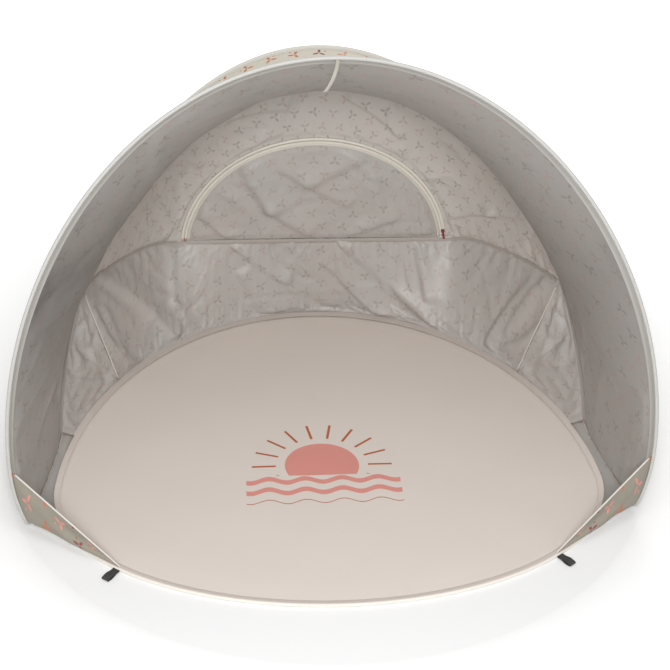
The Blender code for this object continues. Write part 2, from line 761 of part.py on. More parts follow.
def half_disc(name, radius, bottom, lift, thickness, material):
    """A flat panel under the arch, cut off straight along the seam."""
    spread = end_angle(radius, bottom)
    outline = []
    for k in range(ARC_SEGMENTS + 1):
        angle = -spread + 2 * spread * k / ARC_SEGMENTS
        outline.append((radius * math.sin(angle), radius * math.cos(angle)))
    matrix = WINDOW_FRAME @ Matrix.Translation((0, 0, lift))
    return plate(name, [outline], thickness, material, matrix)


def build_window():
    tape_lift = HALF_FABRIC + SEAM_GAP + TAPE_THICKNESS / 2
    row_lift = tape_lift + TAPE_THICKNESS / 2 + SEAM_GAP + ROW_THICKNESS / 2
    net_lift = HALF_FABRIC + SEAM_GAP + MESH_THICKNESS / 2
    half_disc("window_net", WINDOW_RADIUS + WINDOW_WALL_EDGE + MESH_OVERLAP, SEAM_TAPE_UP,
              -net_lift, MESH_THICKNESS, NET)
    half_disc("window_flap", WINDOW_RADIUS - FLAP_EDGE, FLAP_BOTTOM, 0.0, FABRIC_THICKNESS, CANVAS)
    arc_strip("zip_tape_wall", WINDOW_RADIUS + TAPE_INNER, WINDOW_RADIUS + TAPE_OUTER, tape_lift,
              TAPE_THICKNESS, BINDING)
    arc_strip("zip_tape_flap", WINDOW_RADIUS - TAPE_OUTER, WINDOW_RADIUS - TAPE_INNER, tape_lift,
              TAPE_THICKNESS, BINDING)
    arc_strip("zip_row_wall", WINDOW_RADIUS + ROW_GAP, WINDOW_RADIUS + ROW_WIDTH, row_lift,
              ROW_THICKNESS, ZIP_PLASTIC)
    arc_strip("zip_row_flap", WINDOW_RADIUS - ROW_WIDTH, WINDOW_RADIUS - ROW_GAP, row_lift,
              ROW_THICKNESS, ZIP_PLASTIC)
    build_slider(tape_lift + TAPE_THICKNESS / 2 + SEAM_GAP, row_lift + ROW_THICKNESS / 2 + SEAM_GAP)


def build_slider(foot, deck):
    """The slider rides on the wall's row: a plate, an outer flange, two ears and the pull's pin."""
    park = math.radians(SLIDER_PARK_DEG)
    matrix = WINDOW_FRAME @ Matrix.Rotation(-park, 4, "Z") @ Matrix.Translation((0, WINDOW_RADIUS, 0))
    middle = SEAM_GAP + SLIDER_WIDTH / 2
    top = deck + SLIDER_PLATE
    slider = block("zip_slider", (SLIDER_LENGTH, SLIDER_WIDTH, SLIDER_PLATE),
                   (0, middle, deck + SLIDER_PLATE / 2), matrix, PULL_RED)
    flange_place = ROW_WIDTH + SEAM_GAP * 2 + SLIDER_FLANGE / 2
    overlap = SLIDER_PLATE / 2
    flange = block("slider_flange", (SLIDER_LENGTH, SLIDER_FLANGE, deck - foot + overlap),
                   (0, flange_place, (foot + deck + overlap) / 2), matrix, PULL_RED, CUTTERS)
    combine(slider, flange, "UNION")
    for side in (-1, 1):
        ear = block("slider_ear", (KNUCKLE_RADIUS * 2, EAR_WIDTH, EAR_HEIGHT + overlap),
                    (0, middle + side * EAR_SPAN / 2, top + (EAR_HEIGHT - overlap) / 2),
                    matrix, PULL_RED, CUTTERS)
        combine(slider, ear, "UNION")
    axle = top + EAR_HEIGHT - PIN_RADIUS * 2
    turn = matrix @ Matrix.Translation((0, middle, axle)) @ Matrix.Rotation(-math.pi / 2, 4, "Z")
    pin = rod("slider_pin", PIN_RADIUS, EAR_SPAN, (0, 0, 0), turn, PULL_RED, CUTTERS)
    combine(slider, pin, "UNION")
    build_pull(turn)
    for side, turn_side in (("left", 1), ("right", -1)):
        place = Matrix.Rotation(turn_side * math.radians(STOP_DEG), 4, "Z")
        place = WINDOW_FRAME @ place @ Matrix.Translation((0, WINDOW_RADIUS, 0))
        block("zip_stop_" + side, (STOP_LENGTH, ROW_WIDTH - ROW_GAP, STOP_HEIGHT),
              (0, (ROW_WIDTH + ROW_GAP) / 2, deck + STOP_HEIGHT / 2), place, PULL_RED)


def build_pull(turn):
    """The pull: a knuckle round the slider's pin, and a tab that hangs straight down at rest."""
    hang = math.atan2(-PLANE_IN.z, PLANE_UP.z * math.sin(math.radians(SLIDER_PARK_DEG)))
    tilt = turn @ Matrix.Rotation(hang, 4, "X")
    pull = rod("zip_pull", KNUCKLE_RADIUS, KNUCKLE_WIDTH, (0, 0, 0), tilt, PULL_RED)
    neck = block("pull_neck", (KNUCKLE_WIDTH, NECK_LENGTH, PULL_THICKNESS),
                 (0, NECK_LENGTH / 2, 0), tilt, PULL_RED, CUTTERS)
    combine(pull, neck, "UNION")
    tab = block("pull_tab", (PULL_WIDTH, PULL_LENGTH, PULL_THICKNESS),
                (0, PULL_LENGTH / 2 + NECK_LENGTH - MERGE, 0), tilt, PULL_RED, CUTTERS)
    combine(pull, tab, "UNION")
    bore = rod("pull_bore", KNUCKLE_BORE, KNUCKLE_WIDTH * 2, (0, 0, 0), tilt, PULL_RED, CUTTERS)
    combine(pull, bore, "DIFFERENCE")


def build_front_flap(side, right):
    """A corner panel from the front leg to the floor's front rim, its top edge bound."""
    line = FRONT_LINE[::-1] if right else FRONT_LINE
    middle, out = rim_chord(rim_angle(FLAP_TIP_Y, right))
    tip = Vector((middle.x, middle.y, RIM_SEAT + HALF_FABRIC))
    along = out.cross(Vector((0, 0, 1))) * (1 if right else -1)
    rows = []
    for n, station in enumerate(FLAP_STATIONS):
        leg = edge_point(line, station)
        k = int(station)
        segment = (line[k + 1] - line[k]).normalized()
        far = tip + along * FLAP_TIP_WIDTH * (n / (len(FLAP_STATIONS) - 1) - 1 / 2)
        start = leg + square_to(far - leg, segment) * NOSE_EDGE
        rows.append([start.lerp(far, c / FLAP_COLUMNS) for c in range(FLAP_COLUMNS + 1)])
    sheet("front_flap_" + side, rows, FABRIC_THICKNESS, CANVAS)
    top, under = rows[-1], rows[-2]
    run = (top[-1] - top[0]).normalized()
    lift = -square_to(under[0] - top[0], run) * (EDGE_BINDING_RADIUS + SEAT_GAP)
    a, b = top[0] + run * EDGE_BINDING_END + lift, top[-1] + lift
    tube("flap_edge_binding_" + side,
         [a.lerp(b, k / EDGE_BINDING_POINTS) for k in range(EDGE_BINDING_POINTS + 1)],
         EDGE_BINDING_RADIUS, BINDING)


def loop_outline(start, belly, end, low, high):
    """Half a teardrop, from its sewn end to its round end: height rises from low to high."""
    points = []
    for k in range(CURVE_STEPS):
        t = k / CURVE_STEPS
        points.append((start + (belly - start) * t, low + (high - low) * t * t * (3 - 2 * t)))
    for k in range(CURVE_STEPS + 1):
        turn = math.pi / 2 * k / CURVE_STEPS
        points.append((belly + (end - belly) * math.sin(turn), high * math.cos(turn)))
    return points


def both_halves(half):
    return half + [(x, -y) for x, y in half[::-1] if y > MERGE]


def build_peg_loop(name, angle):
    """A folded strip of webbing that lies on the ground outside the floor binding."""
    outer = [(0.0, LOOP_SEWN_HALF)]
    outer += loop_outline(LOOP_SEWN_LENGTH, LOOP_BELLY, LOOP_LENGTH, LOOP_SEWN_HALF, LOOP_HEIGHT / 2)
    inner = [(LOOP_EYE_START, 0.0)]
    inner += loop_outline(LOOP_EYE_CURVE, LOOP_BELLY, LOOP_LENGTH - LOOP_STRAP, LOOP_EYE_TIP,
                          LOOP_HEIGHT / 2 - LOOP_STRAP)
    middle, out = rim_chord(angle)
    up = Vector((0, 0, 1))
    place = middle + out * (NOSE_FACE + SEAT_GAP)
    place.z = LOOP_HEIGHT / 2
    matrix = Matrix((out, up, out.cross(up))).transposed().to_4x4()
    matrix = Matrix.Translation(place) @ matrix
    plate(name, [both_halves(outer), both_halves(inner)], LOOP_WIDTH, WEBBING, matrix)


def build_foot_patch(side, run, row, inner_side):
    """An angle of cloth that ties the ground run's tail to the top of the floor binding."""
    a, b = (run[k] for k in PATCH_STATIONS)
    rows = []
    for share in (PATCH_END_SHARE, 1 - PATCH_END_SHARE):
        place = a.lerp(b, share)
        aim = (row[0] - run[0]).lerp(row[-1] - run[-1], (PATCH_STATIONS[0] + share) / RUN_STATIONS)
        up = square_to(aim, (b - a).normalized())
        across = square_to(Vector((-inner_side, 0, 0)), (b - a).normalized())
        across = square_to(across, up)
        off = across * (TAIL_SPREAD + HALF_BINDING + SEAT_GAP + HALF_FABRIC)
        corner = place + up * PATCH_CORNER + off
        rim = rim_seat(rim_angle(corner.y - WIDEST_Y, inner_side > 0)) + Vector((0, 0, HALF_FABRIC))
        rows.append([place + up * PATCH_HEIGHT + off, corner,
                     rim + Vector((-inner_side * PATCH_OVERHANG, 0, 0))])
    sheet("foot_patch_" + side, rows, FABRIC_THICKNESS, BINDING)


def build_ribbon():
    """A short tie ribbon that hangs inside the top of the front arch."""
    top = FRONT_LINE[ARCH_STATIONS // 2] - Vector((0, 0, SLEEVE_RADIUS + SEAT_GAP))
    rows = []
    for k in range(RIBBON_STEPS + 1):
        t = k / RIBBON_STEPS
        place = top + Vector((-RIBBON_SWING * t * t, 0, -RIBBON_LENGTH * t))
        half = Vector((RIBBON_WIDTH / 2, 0, 0))
        rows.append([place - half, place + half])
    sheet("tie_ribbon", rows, RIBBON_THICKNESS, BINDING)


build_wires()
CLOTH_ROWS = build_canopy()
build_floor()
build_walls()
build_window()
build_ribbon()
REAR_LOOP_ANGLE = math.acos(REAR_LOOP_HALF_SPACING / FLOOR_HALF_WIDTH)
for SIDE, RIGHT, TURN, RUN, ROW in (("left", False, -1, RUN_LEFT, CLOTH_ROWS[0]),
                                    ("right", True, 1, RUN_RIGHT, CLOTH_ROWS[-1])):
    build_front_flap(SIDE, RIGHT)
    build_peg_loop("peg_loop_front_" + SIDE, rim_angle(FLAP_TIP_Y, RIGHT))
    build_peg_loop("peg_loop_rear_" + SIDE, REAR_LOOP_ANGLE if RIGHT else math.pi - REAR_LOOP_ANGLE)
    build_foot_patch(SIDE, RUN, ROW, TURN)
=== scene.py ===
"""Looks of a pop-up beach tent: printed cloth sewn to two closed spring-wire hoops."""
import math
import bpy
import numpy as np
from mathutils import Matrix, Vector


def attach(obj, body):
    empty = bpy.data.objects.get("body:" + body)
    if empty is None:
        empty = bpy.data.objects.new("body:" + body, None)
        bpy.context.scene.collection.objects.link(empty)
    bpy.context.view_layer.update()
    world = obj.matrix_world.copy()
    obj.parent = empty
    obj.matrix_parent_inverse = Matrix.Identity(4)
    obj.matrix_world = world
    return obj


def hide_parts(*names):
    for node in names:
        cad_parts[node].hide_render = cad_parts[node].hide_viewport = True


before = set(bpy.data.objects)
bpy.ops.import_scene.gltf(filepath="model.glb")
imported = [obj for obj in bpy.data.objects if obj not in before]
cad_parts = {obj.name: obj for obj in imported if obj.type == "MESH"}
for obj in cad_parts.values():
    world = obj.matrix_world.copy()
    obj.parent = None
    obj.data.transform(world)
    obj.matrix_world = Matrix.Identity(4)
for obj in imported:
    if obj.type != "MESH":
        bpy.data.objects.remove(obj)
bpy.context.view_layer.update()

# Ground sheet. One oval of coated cloth, printed in two inks, that lies flat on the
# sand with a few soft ripples. Its edge is sewn into the binding of the floor hoop.
FLOOR_HALF_WIDTH = 0.750
FLOOR_FRONT_DEPTH = 0.485
FLOOR_REAR_DEPTH = 0.940
WIDEST_Y = (FLOOR_FRONT_DEPTH - FLOOR_REAR_DEPTH) / 2
CLOTH_THICKNESS = 0.0008
EDGE_IN_BINDING = 0.009
SHEET_LEVEL = 0.0017
FLOOR_STEPS = 288
FLOOR_RINGS = 40
FLOOR_CENTRE_SHARE = 0.03
FLOOR_QUIET_SHARE = 0.12
FLOOR_RIPPLE = 0.0016
FLOOR_RIPPLE_SIZE = 0.21
RIPPLE_BEND = 1.3
RIPPLE_STRETCH = 0.8
FLOOR_BLOTCH_SIZE = 0.5
FLOOR_BLOTCH_SHADE = 0.96
GROUND_CREAM = (0.735, 0.660, 0.603, 1)
INK_PINK = (0.690, 0.280, 0.240, 1)
INK_RUST = (0.440, 0.110, 0.035, 1)
SUN_X = -0.022
SUN_Y = -0.150
SUN_RADIUS = 0.104
RAY_START = 0.128
RAY_END = 0.196
RAY_HALF_WIDTH = 0.0042
RAY_COUNT = 18
WAVE_DROPS = (0.066, 0.112)
WAVE_HALF_WIDTH = 0.0105
WAVE_HEIGHT = 0.0085
WAVE_LENGTH = 0.100
WAVE_REACH = 0.212
SHORE_DROP = 0.158
PRINT_SHARPNESS = 900


def floor_rim(angle, inset=0.0, height=0.0):
    """Places on the floor hoop's line: angle 0 is at the right, a quarter turn at the rear."""
    angle = np.asarray(angle, float)
    depth = np.where(np.sin(angle) > 0, FLOOR_REAR_DEPTH, FLOOR_FRONT_DEPTH)
    x, y = FLOOR_HALF_WIDTH * np.cos(angle), depth * np.sin(angle)
    slope = np.stack([np.cos(angle) / FLOOR_HALF_WIDTH, np.sin(angle) / depth])
    slope = slope / np.linalg.norm(slope, axis=0)
    level = np.full(angle.shape, float(height))
    return np.stack([x - slope[0] * inset, y - slope[1] * inset + WIDEST_Y, level], -1)


def distances(line):
    """Metres along a line at each of its points."""
    return np.concatenate([[0], np.linalg.norm(np.diff(line, axis=0), axis=1).cumsum()])


def corners(table):
    """The four corners of each cell of a grid, in order round the cell."""
    return np.stack([table[:-1, :-1], table[1:, :-1], table[1:, 1:], table[:-1, 1:]], 2)


def new_piece(name, places, polygons, marks, finishes):
    """A smooth piece from places and polygons, with the marks as its map in metres."""
    mesh = bpy.data.meshes.new(name)
    mesh.from_pydata(places.reshape(-1, 3).tolist(), [], polygons)
    layer = mesh.uv_layers.new(name="cloth")
    layer.data.foreach_set("uv", marks.astype(np.float32).ravel())
    mesh.shade_smooth()
    for finish in finishes:
        mesh.materials.append(finish)
    piece = bpy.data.objects.new(name, mesh)
    bpy.context.scene.collection.objects.link(piece)
    return piece


def surface(name, rows, finishes, thickness, heart=None, closed=False, capped=False):
    """Cloth through rows of points, with its thickness about them.

    The first finish faces away from the heart, and the last one toward it."""
    rows = np.asarray(rows, float)
    count, width = rows.shape[:2]
    ids = np.arange(count * width).reshape(count, width)
    full = rows
    if closed:
        ids = np.vstack([ids, ids[:1]])
        full = np.concatenate([rows, rows[:1]])
    along = distances(full[:, width // 2])
    across = np.linalg.norm(np.diff(full, axis=1), axis=2).cumsum(axis=1)
    across = np.concatenate([np.zeros((len(full), 1)), across], axis=1)
    across -= across[:, width // 2:width // 2 + 1]
    place = np.stack([np.broadcast_to(along[:, None], across.shape), across], -1)
    faces = corners(ids).reshape(-1, 4)
    marks = corners(place).reshape(-1, 4, 2)
    if heart is not None:
        lean = np.cross(full[1:, :-1] - full[:-1, :-1], full[:-1, 1:] - full[:-1, :-1])
        away = full[:-1, :-1] - np.asarray(heart)
        if np.sum(lean * away) < 0:
            faces, marks = faces[:, ::-1], marks[:, ::-1]
    polygons = faces.tolist()
    marks = marks.reshape(-1, 2)
    if capped:
        polygons.append(ids[:count, -1].tolist())
        marks = np.concatenate([marks, rows[:, -1, :2]])
    piece = new_piece(name, rows, polygons, marks, finishes)
    if thickness:
        shell = piece.modifiers.new("thickness", "SOLIDIFY")
        shell.thickness = thickness
        shell.offset = 0
        shell.use_even_offset = True
        shell.material_offset = len(finishes) - 1
    return piece


def fitted(piece, body, slot, *nodes):
    """The piece takes its place on a body, in the stead of the plain solids named."""
    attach(piece, body)
    if nodes:
        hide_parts(*nodes)
    return piece


class Tone:
    """A shader socket that takes part in ordinary sums, products and comparisons."""

    def __init__(self, tree, socket=None):
        self.tree = tree
        self.socket = socket

    def feed(self, socket, value):
        if isinstance(value, Tone):
            self.tree.links.new(value.socket, socket)
        else:
            socket.default_value = value

    def node(self, kind, settings=None, inputs=None, output=0):
        """Any other node: its settings first, then its sockets' values or links."""
        made = self.tree.nodes.new(kind)
        for key, value in (settings or {}).items():
            setattr(made, key, value)
        for key, value in (inputs or {}).items():
            self.feed(made.inputs[key], value)
        return Tone(self.tree, made.outputs[output])

    def sum_of(self, operation, *values, clamp=False):
        settings = {"operation": operation, "use_clamp": clamp}
        return self.node("ShaderNodeMath", settings, dict(enumerate(values)))

    def __add__(self, other):
        return self.sum_of("ADD", self, other)

    def __sub__(self, other):
        return self.sum_of("SUBTRACT", self, other)

    def __rsub__(self, other):
        return self.sum_of("SUBTRACT", other, self)

    def __mul__(self, other):
        return self.sum_of("MULTIPLY", self, other)

    def __truediv__(self, other):
        return self.sum_of("DIVIDE", self, other)

    def __pow__(self, other):
        return self.sum_of("POWER", self, other)

    def __mod__(self, other):
        return self.sum_of("FLOORED_MODULO", self, other)

    def __lt__(self, other):
        return self.sum_of("LESS_THAN", self, other)

    def __gt__(self, other):
        return self.sum_of("GREATER_THAN", self, other)

    def __abs__(self):
        return self.sum_of("ABSOLUTE", self)

    __radd__ = __add__
    __rmul__ = __mul__

    def floor(self):
        return self.sum_of("FLOOR", self)

    def sine(self):
        return self.sum_of("SINE", self)

    def cosine(self):
        return self.sum_of("COSINE", self)

    def root(self):
        return self.sum_of("SQRT", self)

    def larger(self, other):
        return self.sum_of("MAXIMUM", self, other)

    def clamped(self):
        """The same number, held between 0 and 1."""
        return self.sum_of("MULTIPLY", self, 1.0, clamp=True)

    def angle_to(self, other):
        return self.sum_of("ARCTAN2", self, other)

    def part(self, axis):
        """One of the three numbers of a place."""
        return self.node("ShaderNodeSeparateXYZ", None, {0: self}, "XYZ".index(axis))

    def solid(self):
        """The place on the tent itself, in metres."""
        return self.node("ShaderNodeTexCoord", None, None, 3)

    def between(self, low, high):
        """The colour low where this is 0, and the colour high where it is 1."""
        return self.node("ShaderNodeMix", {"data_type": "RGBA"}, {0: self, 6: low, 7: high}, 2)

    def noise(self, size, detail=2.0):
        """Soft unevenness with humps of about this size in metres, around one half."""
        return self.node("ShaderNodeTexNoise", None,
                         {"Vector": self, "Scale": 1 / size, "Detail": detail})


def new_finish(name, roughness, metallic=0.0):
    """A material, its surface shader, and the place on the cloth's map in metres."""
    material = bpy.data.materials.new(name)
    material.use_nodes = True
    shader = material.node_tree.nodes["Principled BSDF"]
    shader.inputs["Roughness"].default_value = roughness
    shader.inputs["Metallic"].default_value = metallic
    place = Tone(material.node_tree).node("ShaderNodeUVMap", {"uv_map": "cloth"})
    return material, shader, place


def woven(place, shader, size, depth):
    """A plain weave as a fine relief: warp over weft in turn, size across one thread."""
    turn = math.pi / size
    warp, weft = (place.part("X") * turn).sine(), (place.part("Y") * turn).sine()
    relief = place.node("ShaderNodeBump", None, {"Distance": depth, "Height": warp * weft})
    place.feed(shader.inputs["Normal"], relief)


def darker(colour, share):
    """The same colour at a share of its strength."""
    return [part * share for part in colour[:3]] + [1]


def printed(margin):
    """1 where a margin in metres is above 0, with the crisp edge of printer's ink."""
    return (margin * PRINT_SHARPNESS).clamped()


def floor_finish():
    """Cream coated cloth with a sun over two waves, in pink and rust ink."""
    material, shader, place = new_finish("ground_sheet_top", roughness=0.62)
    solid = place.solid()
    x, y = solid.part("X") - SUN_X, solid.part("Y") - SUN_Y
    reach = (x * x + y * y).root()
    above_water = printed(y + (WAVE_DROPS[0] - WAVE_HALF_WIDTH * 2))
    sun = printed(SUN_RADIUS - reach) * above_water
    ray_turn = 2 * math.pi / RAY_COUNT
    bearing = y.angle_to(x)
    nearest = (bearing / ray_turn + 0.5).floor() * ray_turn
    aside = abs((bearing - nearest).sine() * reach)
    ray = printed(RAY_HALF_WIDTH - aside) * printed(reach - RAY_START)
    ray = ray * printed(RAY_END - reach) * above_water
    swing = (x * (2 * math.pi / WAVE_LENGTH)).cosine() * WAVE_HEIGHT
    waves = 0
    for drop in WAVE_DROPS:
        waves = printed(WAVE_HALF_WIDTH - abs(y + drop + swing)) + waves
    strand = printed(RAY_HALF_WIDTH / 2 - abs(y + SHORE_DROP + swing))
    within = printed(WAVE_REACH - abs(x))
    blotch = place.noise(FLOOR_BLOTCH_SIZE)
    tint = blotch.between(GROUND_CREAM, darker(GROUND_CREAM, FLOOR_BLOTCH_SHADE))
    colour = sun.larger(waves * within).between(tint, INK_PINK)
    colour = ray.larger(strand * within).between(colour, INK_RUST)
    place.feed(shader.inputs["Base Color"], colour)
    return material


def ripples(places, height, size):
    """A slow swell over flat cloth, made of three crossing waves."""
    x, y = places[..., 0], places[..., 1]
    turn = 2 * math.pi / size
    swell = np.sin(x * turn + RIPPLE_BEND * np.sin(y * turn / 2))
    swell = swell + np.sin(y * turn * RIPPLE_STRETCH + x * turn / 3)
    swell = swell + np.sin((x - y) * turn / 2 + 2)
    return (swell / 3 + 1) / 2 * height


GROUND_TOP = floor_finish()
GROUND_UNDER = new_finish("ground_sheet_under", roughness=0.7)[0]
angles = np.linspace(0, 2 * math.pi, FLOOR_STEPS, endpoint=False)
rim = floor_rim(angles, EDGE_IN_BINDING, SHEET_LEVEL)
middle = np.array([0, WIDEST_Y, SHEET_LEVEL])
shares = np.linspace(1, FLOOR_CENTRE_SHARE, FLOOR_RINGS)
rows = middle + (rim - middle)[:, None] * shares[None, :, None]
inner = np.clip((1 - shares) / FLOOR_QUIET_SHARE, 0, 1) ** 2
rows[..., 2] += ripples(rows, FLOOR_RIPPLE, FLOOR_RIPPLE_SIZE) * inner
floor_sheet = surface("ground_sheet", rows, [GROUND_TOP, GROUND_UNDER], CLOTH_THICKNESS,
                      (0, 0, -1), closed=True, capped=True)
fitted(floor_sheet, "tent", "floor_cloth", "floor_panel")

# Floor hoop's binding. Cream canvas tape folded round the spring wire, with a rounded
# nose where the wire runs and two tails that hold the ground sheet, sewn through once.
NOSE_RADIUS = 0.0045
TAIL_SPREAD = 0.0013
TAIL_START = 0.006
TAIL_LENGTH = 0.018
BINDING_THICKNESS = 0.0008
HEM_RISE = 0.0004
HEM_WIDTH = 0.0016
STITCH_INSET = 0.0035
STITCH_GROOVE = 0.0002
STITCH_FLAT_SHARE = 1.6
NOSE_STEPS = 14
TAIL_POINTS = 5
NOSE_FIRST_TURN = math.radians(68)
WIRE_HEIGHT = NOSE_RADIUS + BINDING_THICKNESS / 2
FLOOR_TAIL_DROP = NOSE_RADIUS - TAIL_SPREAD
BINDING_CREAM = (0.640, 0.615, 0.560, 1)
STITCH_PITCH = 0.0042
STITCH_SHARE = 0.68
THREAD_WIDTH = 0.0009
THREAD_SHADE = 0.82
NOSE_ARC_SHARE = 1.4
# Painted shade on the floor tape where it laps under the walls, greyer toward the rear.
LAP_SHADED_CREAM = (0.490, 0.436, 0.396, 1)
LAP_SHADE_FRONT_Y = -0.45
LAP_SHADE_REACH = 0.80
NOSE_CREAM = (0.760, 0.725, 0.665, 1)


def binding_profile(tail, drop=0.0):
    """The fold's outline from one tail's edge round the nose to the other tail's edge.

    Each point is inward of the wire and to its side. Drop lowers both tails at once."""
    rise = TAIL_SPREAD
    knee = max(tail - STITCH_INSET * STITCH_FLAT_SHARE, TAIL_START + HEM_WIDTH / 4)
    half = [(tail, rise), (tail - HEM_WIDTH, rise + HEM_RISE),
            (max(tail - STITCH_INSET, knee + HEM_WIDTH / 4), rise - STITCH_GROOVE),
            (knee, rise), (TAIL_START, rise)]
    for k in range(NOSE_STEPS + 1):
        turn = NOSE_FIRST_TURN + (math.pi - NOSE_FIRST_TURN) * k / NOSE_STEPS
        half.append((NOSE_RADIUS * math.cos(turn), NOSE_RADIUS * math.sin(turn)))
    whole = half + [(n, -b) for n, b in half[-2::-1]]
    tails = len(half) - NOSE_STEPS - 1
    return np.array([(n, b - drop if k < tails or k >= len(whole) - tails else b)
                     for k, (n, b) in enumerate(whole)])


def unit(vectors):
    """The same directions, one unit long."""
    return vectors / np.linalg.norm(vectors, axis=-1, keepdims=True)


def square_to(direction, along):
    """The part of a direction that is square to a line's run, one unit long."""
    return unit(direction - along * np.sum(direction * along, -1, keepdims=True))


def bound_edge(line, inward, along, profiles):
    """Sections of binding along a hoop's line, its tails inward."""
    side = unit(np.cross(along, inward))
    return (line[:, None] + inward[:, None] * profiles[..., :1]
            + side[:, None] * profiles[..., 1:])


def binding_finish(name, under_sheet=False, lined=None, cloth=BINDING_CREAM):
    """Cream canvas tape with a run of stitches near each tail's edge.

    The floor's tape is faced with the ground sheet's cloth, with painted shade that greys it
    toward the walls. Where a tape is lined, its first tail shows the lining's colour to the
    cabin."""
    material, shader, place = new_finish(name, roughness=0.68)
    width = TAIL_LENGTH + NOSE_RADIUS * NOSE_ARC_SHARE
    aside = abs(abs(place.part("Y")) - (width - STITCH_INSET))
    line = ((THREAD_WIDTH - aside) / THREAD_WIDTH).clamped()
    dash = (place.part("X") % STITCH_PITCH) < STITCH_PITCH * STITCH_SHARE
    thread = line * dash
    colour = thread.between(cloth, darker(cloth, THREAD_SHADE))
    if under_sheet:
        # Painted shade: the lapped tail greys from the front toward the rear walls.
        rear_shade = ((place.solid().part("Y") - LAP_SHADE_FRONT_Y) / LAP_SHADE_REACH).clamped()
        lapped = place.part("Y") < -NOSE_RADIUS
        colour = lapped.between(colour, rear_shade.between(GROUND_CREAM, LAP_SHADED_CREAM))
        thread = thread * (1 - lapped)
    if lined:
        colour = (place.part("Y") < -NOSE_RADIUS / 2).between(colour, lined)
    place.feed(shader.inputs["Base Color"], colour)
    relief = place.node("ShaderNodeBump", None, {"Distance": THREAD_WIDTH / 2, "Height": thread})
    place.feed(shader.inputs["Normal"], relief)
    return material


BINDING = binding_finish("binding_tape")
FLOOR_BINDING = binding_finish("floor_binding_tape", under_sheet=True, cloth=NOSE_CREAM)
line = floor_rim(angles, 0, WIRE_HEIGHT)
along = unit(np.roll(line, -1, axis=0) - np.roll(line, 1, axis=0))
inward = unit(np.cross([0, 0, 1], along))
profile = binding_profile(TAIL_LENGTH, FLOOR_TAIL_DROP)
upper_tail = profile[:TAIL_POINTS, 0]
profile[:TAIL_POINTS, 1] = np.interp(upper_tail, [NOSE_RADIUS / 2, TAIL_LENGTH],
                                     [NOSE_RADIUS, TAIL_SPREAD - FLOOR_TAIL_DROP - HEM_RISE])
rows = bound_edge(line, inward, along, np.broadcast_to(profile, (len(line),) + profile.shape))
floor_binding = surface("floor_binding", rows, [FLOOR_BINDING], BINDING_THICKNESS, closed=True)
fitted(floor_binding, "tent", "binding", "floor_hoop_sleeve")

# Canopy hoop. One closed ring of spring wire stands as a front arch and a leaning rear
# arch, joined by a short run on the ground each side, all of it inside sewn binding.
FRONT_HALF_WIDTH = 0.820
FRONT_WIDEST_HEIGHT = 0.210
FRONT_TOP_HEIGHT = 1.155
FRONT_FOOT_HALF_WIDTH = 0.740
FRONT_LEG_SETBACK = -0.188
FRONT_TOP_SETBACK = 0.110
FRONT_ARCH_BELLY = 0.200
FRONT_BEND = 0.052
REAR_HALF_WIDTH = 0.755
REAR_TOP_HEIGHT = 0.972
REAR_LEG_SETBACK = 0.200
REAR_TOP_SETBACK = 0.785
REAR_BEND = 0.045
STATIONS = 44
RUN_STATIONS = 5
RUN_TUCK = 0.006
PATH_STEPS = 80
RUN_PATH_STEPS = 20
RUN_FINE_STEPS = 200
FINE = 8
FRONT_TAIL_LENGTH = 0.028
FOOT_TAIL_LENGTH = 0.0105
FOOT_GAP = 0.0006
FOOT_COLUMN_STEP = 0.0012
BAND_COLUMNS = 9
BAND_SAG_SHARE = 0.14
SAG_FADE_STATIONS = 12
HEART_HEIGHT_SHARE = 0.3
LINING_TAPE_GREY = (0.330, 0.303, 0.277, 1)
ARCH_TAPE_CREAM = (0.480, 0.470, 0.445, 1)


def bezier(a, corner, b, steps):
    """A bend from one place to another, drawn toward a corner."""
    t = np.linspace(0, 1, steps + 1)[:, None]
    return a * (1 - t) ** 2 + corner * 2 * t * (1 - t) + b * t ** 2


def read_at(goals, knots, places):
    """Places read from straight steps between their knots."""
    return np.stack([np.interp(goals, knots, places[:, k]) for k in range(3)], -1)


def resample(path, count):
    """The same path as count + 1 points at even distances."""
    run = distances(path)
    return read_at(np.linspace(0, run[-1], count + 1), run, path)


def fair(points, knots, goals):
    """A smooth curve or skin through points, read at the goals between its knots."""
    points, knots, goals = (np.asarray(table, float) for table in (points, knots, goals))
    shape = (-1,) + (1,) * (points.ndim - 1)
    steps = np.diff(knots)
    rise = np.diff(points, axis=0) / steps.reshape(shape)
    slope = np.concatenate([rise[:1], rise])
    slope[1:-1] = rise[:-1] * steps[1:].reshape(shape) + rise[1:] * steps[:-1].reshape(shape)
    slope[1:-1] /= (steps[1:] + steps[:-1]).reshape(shape)
    k = np.clip(np.searchsorted(knots, goals, side="right") - 1, 0, len(steps) - 1)
    h = steps[k].reshape(shape)
    t = (goals - knots[k]).reshape(shape) / h
    start = points[k] * (1 + 2 * t) + slope[k] * h * t
    end = points[k + 1] * (3 - 2 * t) - slope[k + 1] * h * (1 - t)
    return start * (1 - t) ** 2 + end * t ** 2


def fair_across(rows, knots, goals):
    """The same smoothing along each row of a grid."""
    return fair(rows.swapaxes(0, 1), knots, goals).swapaxes(0, 1)


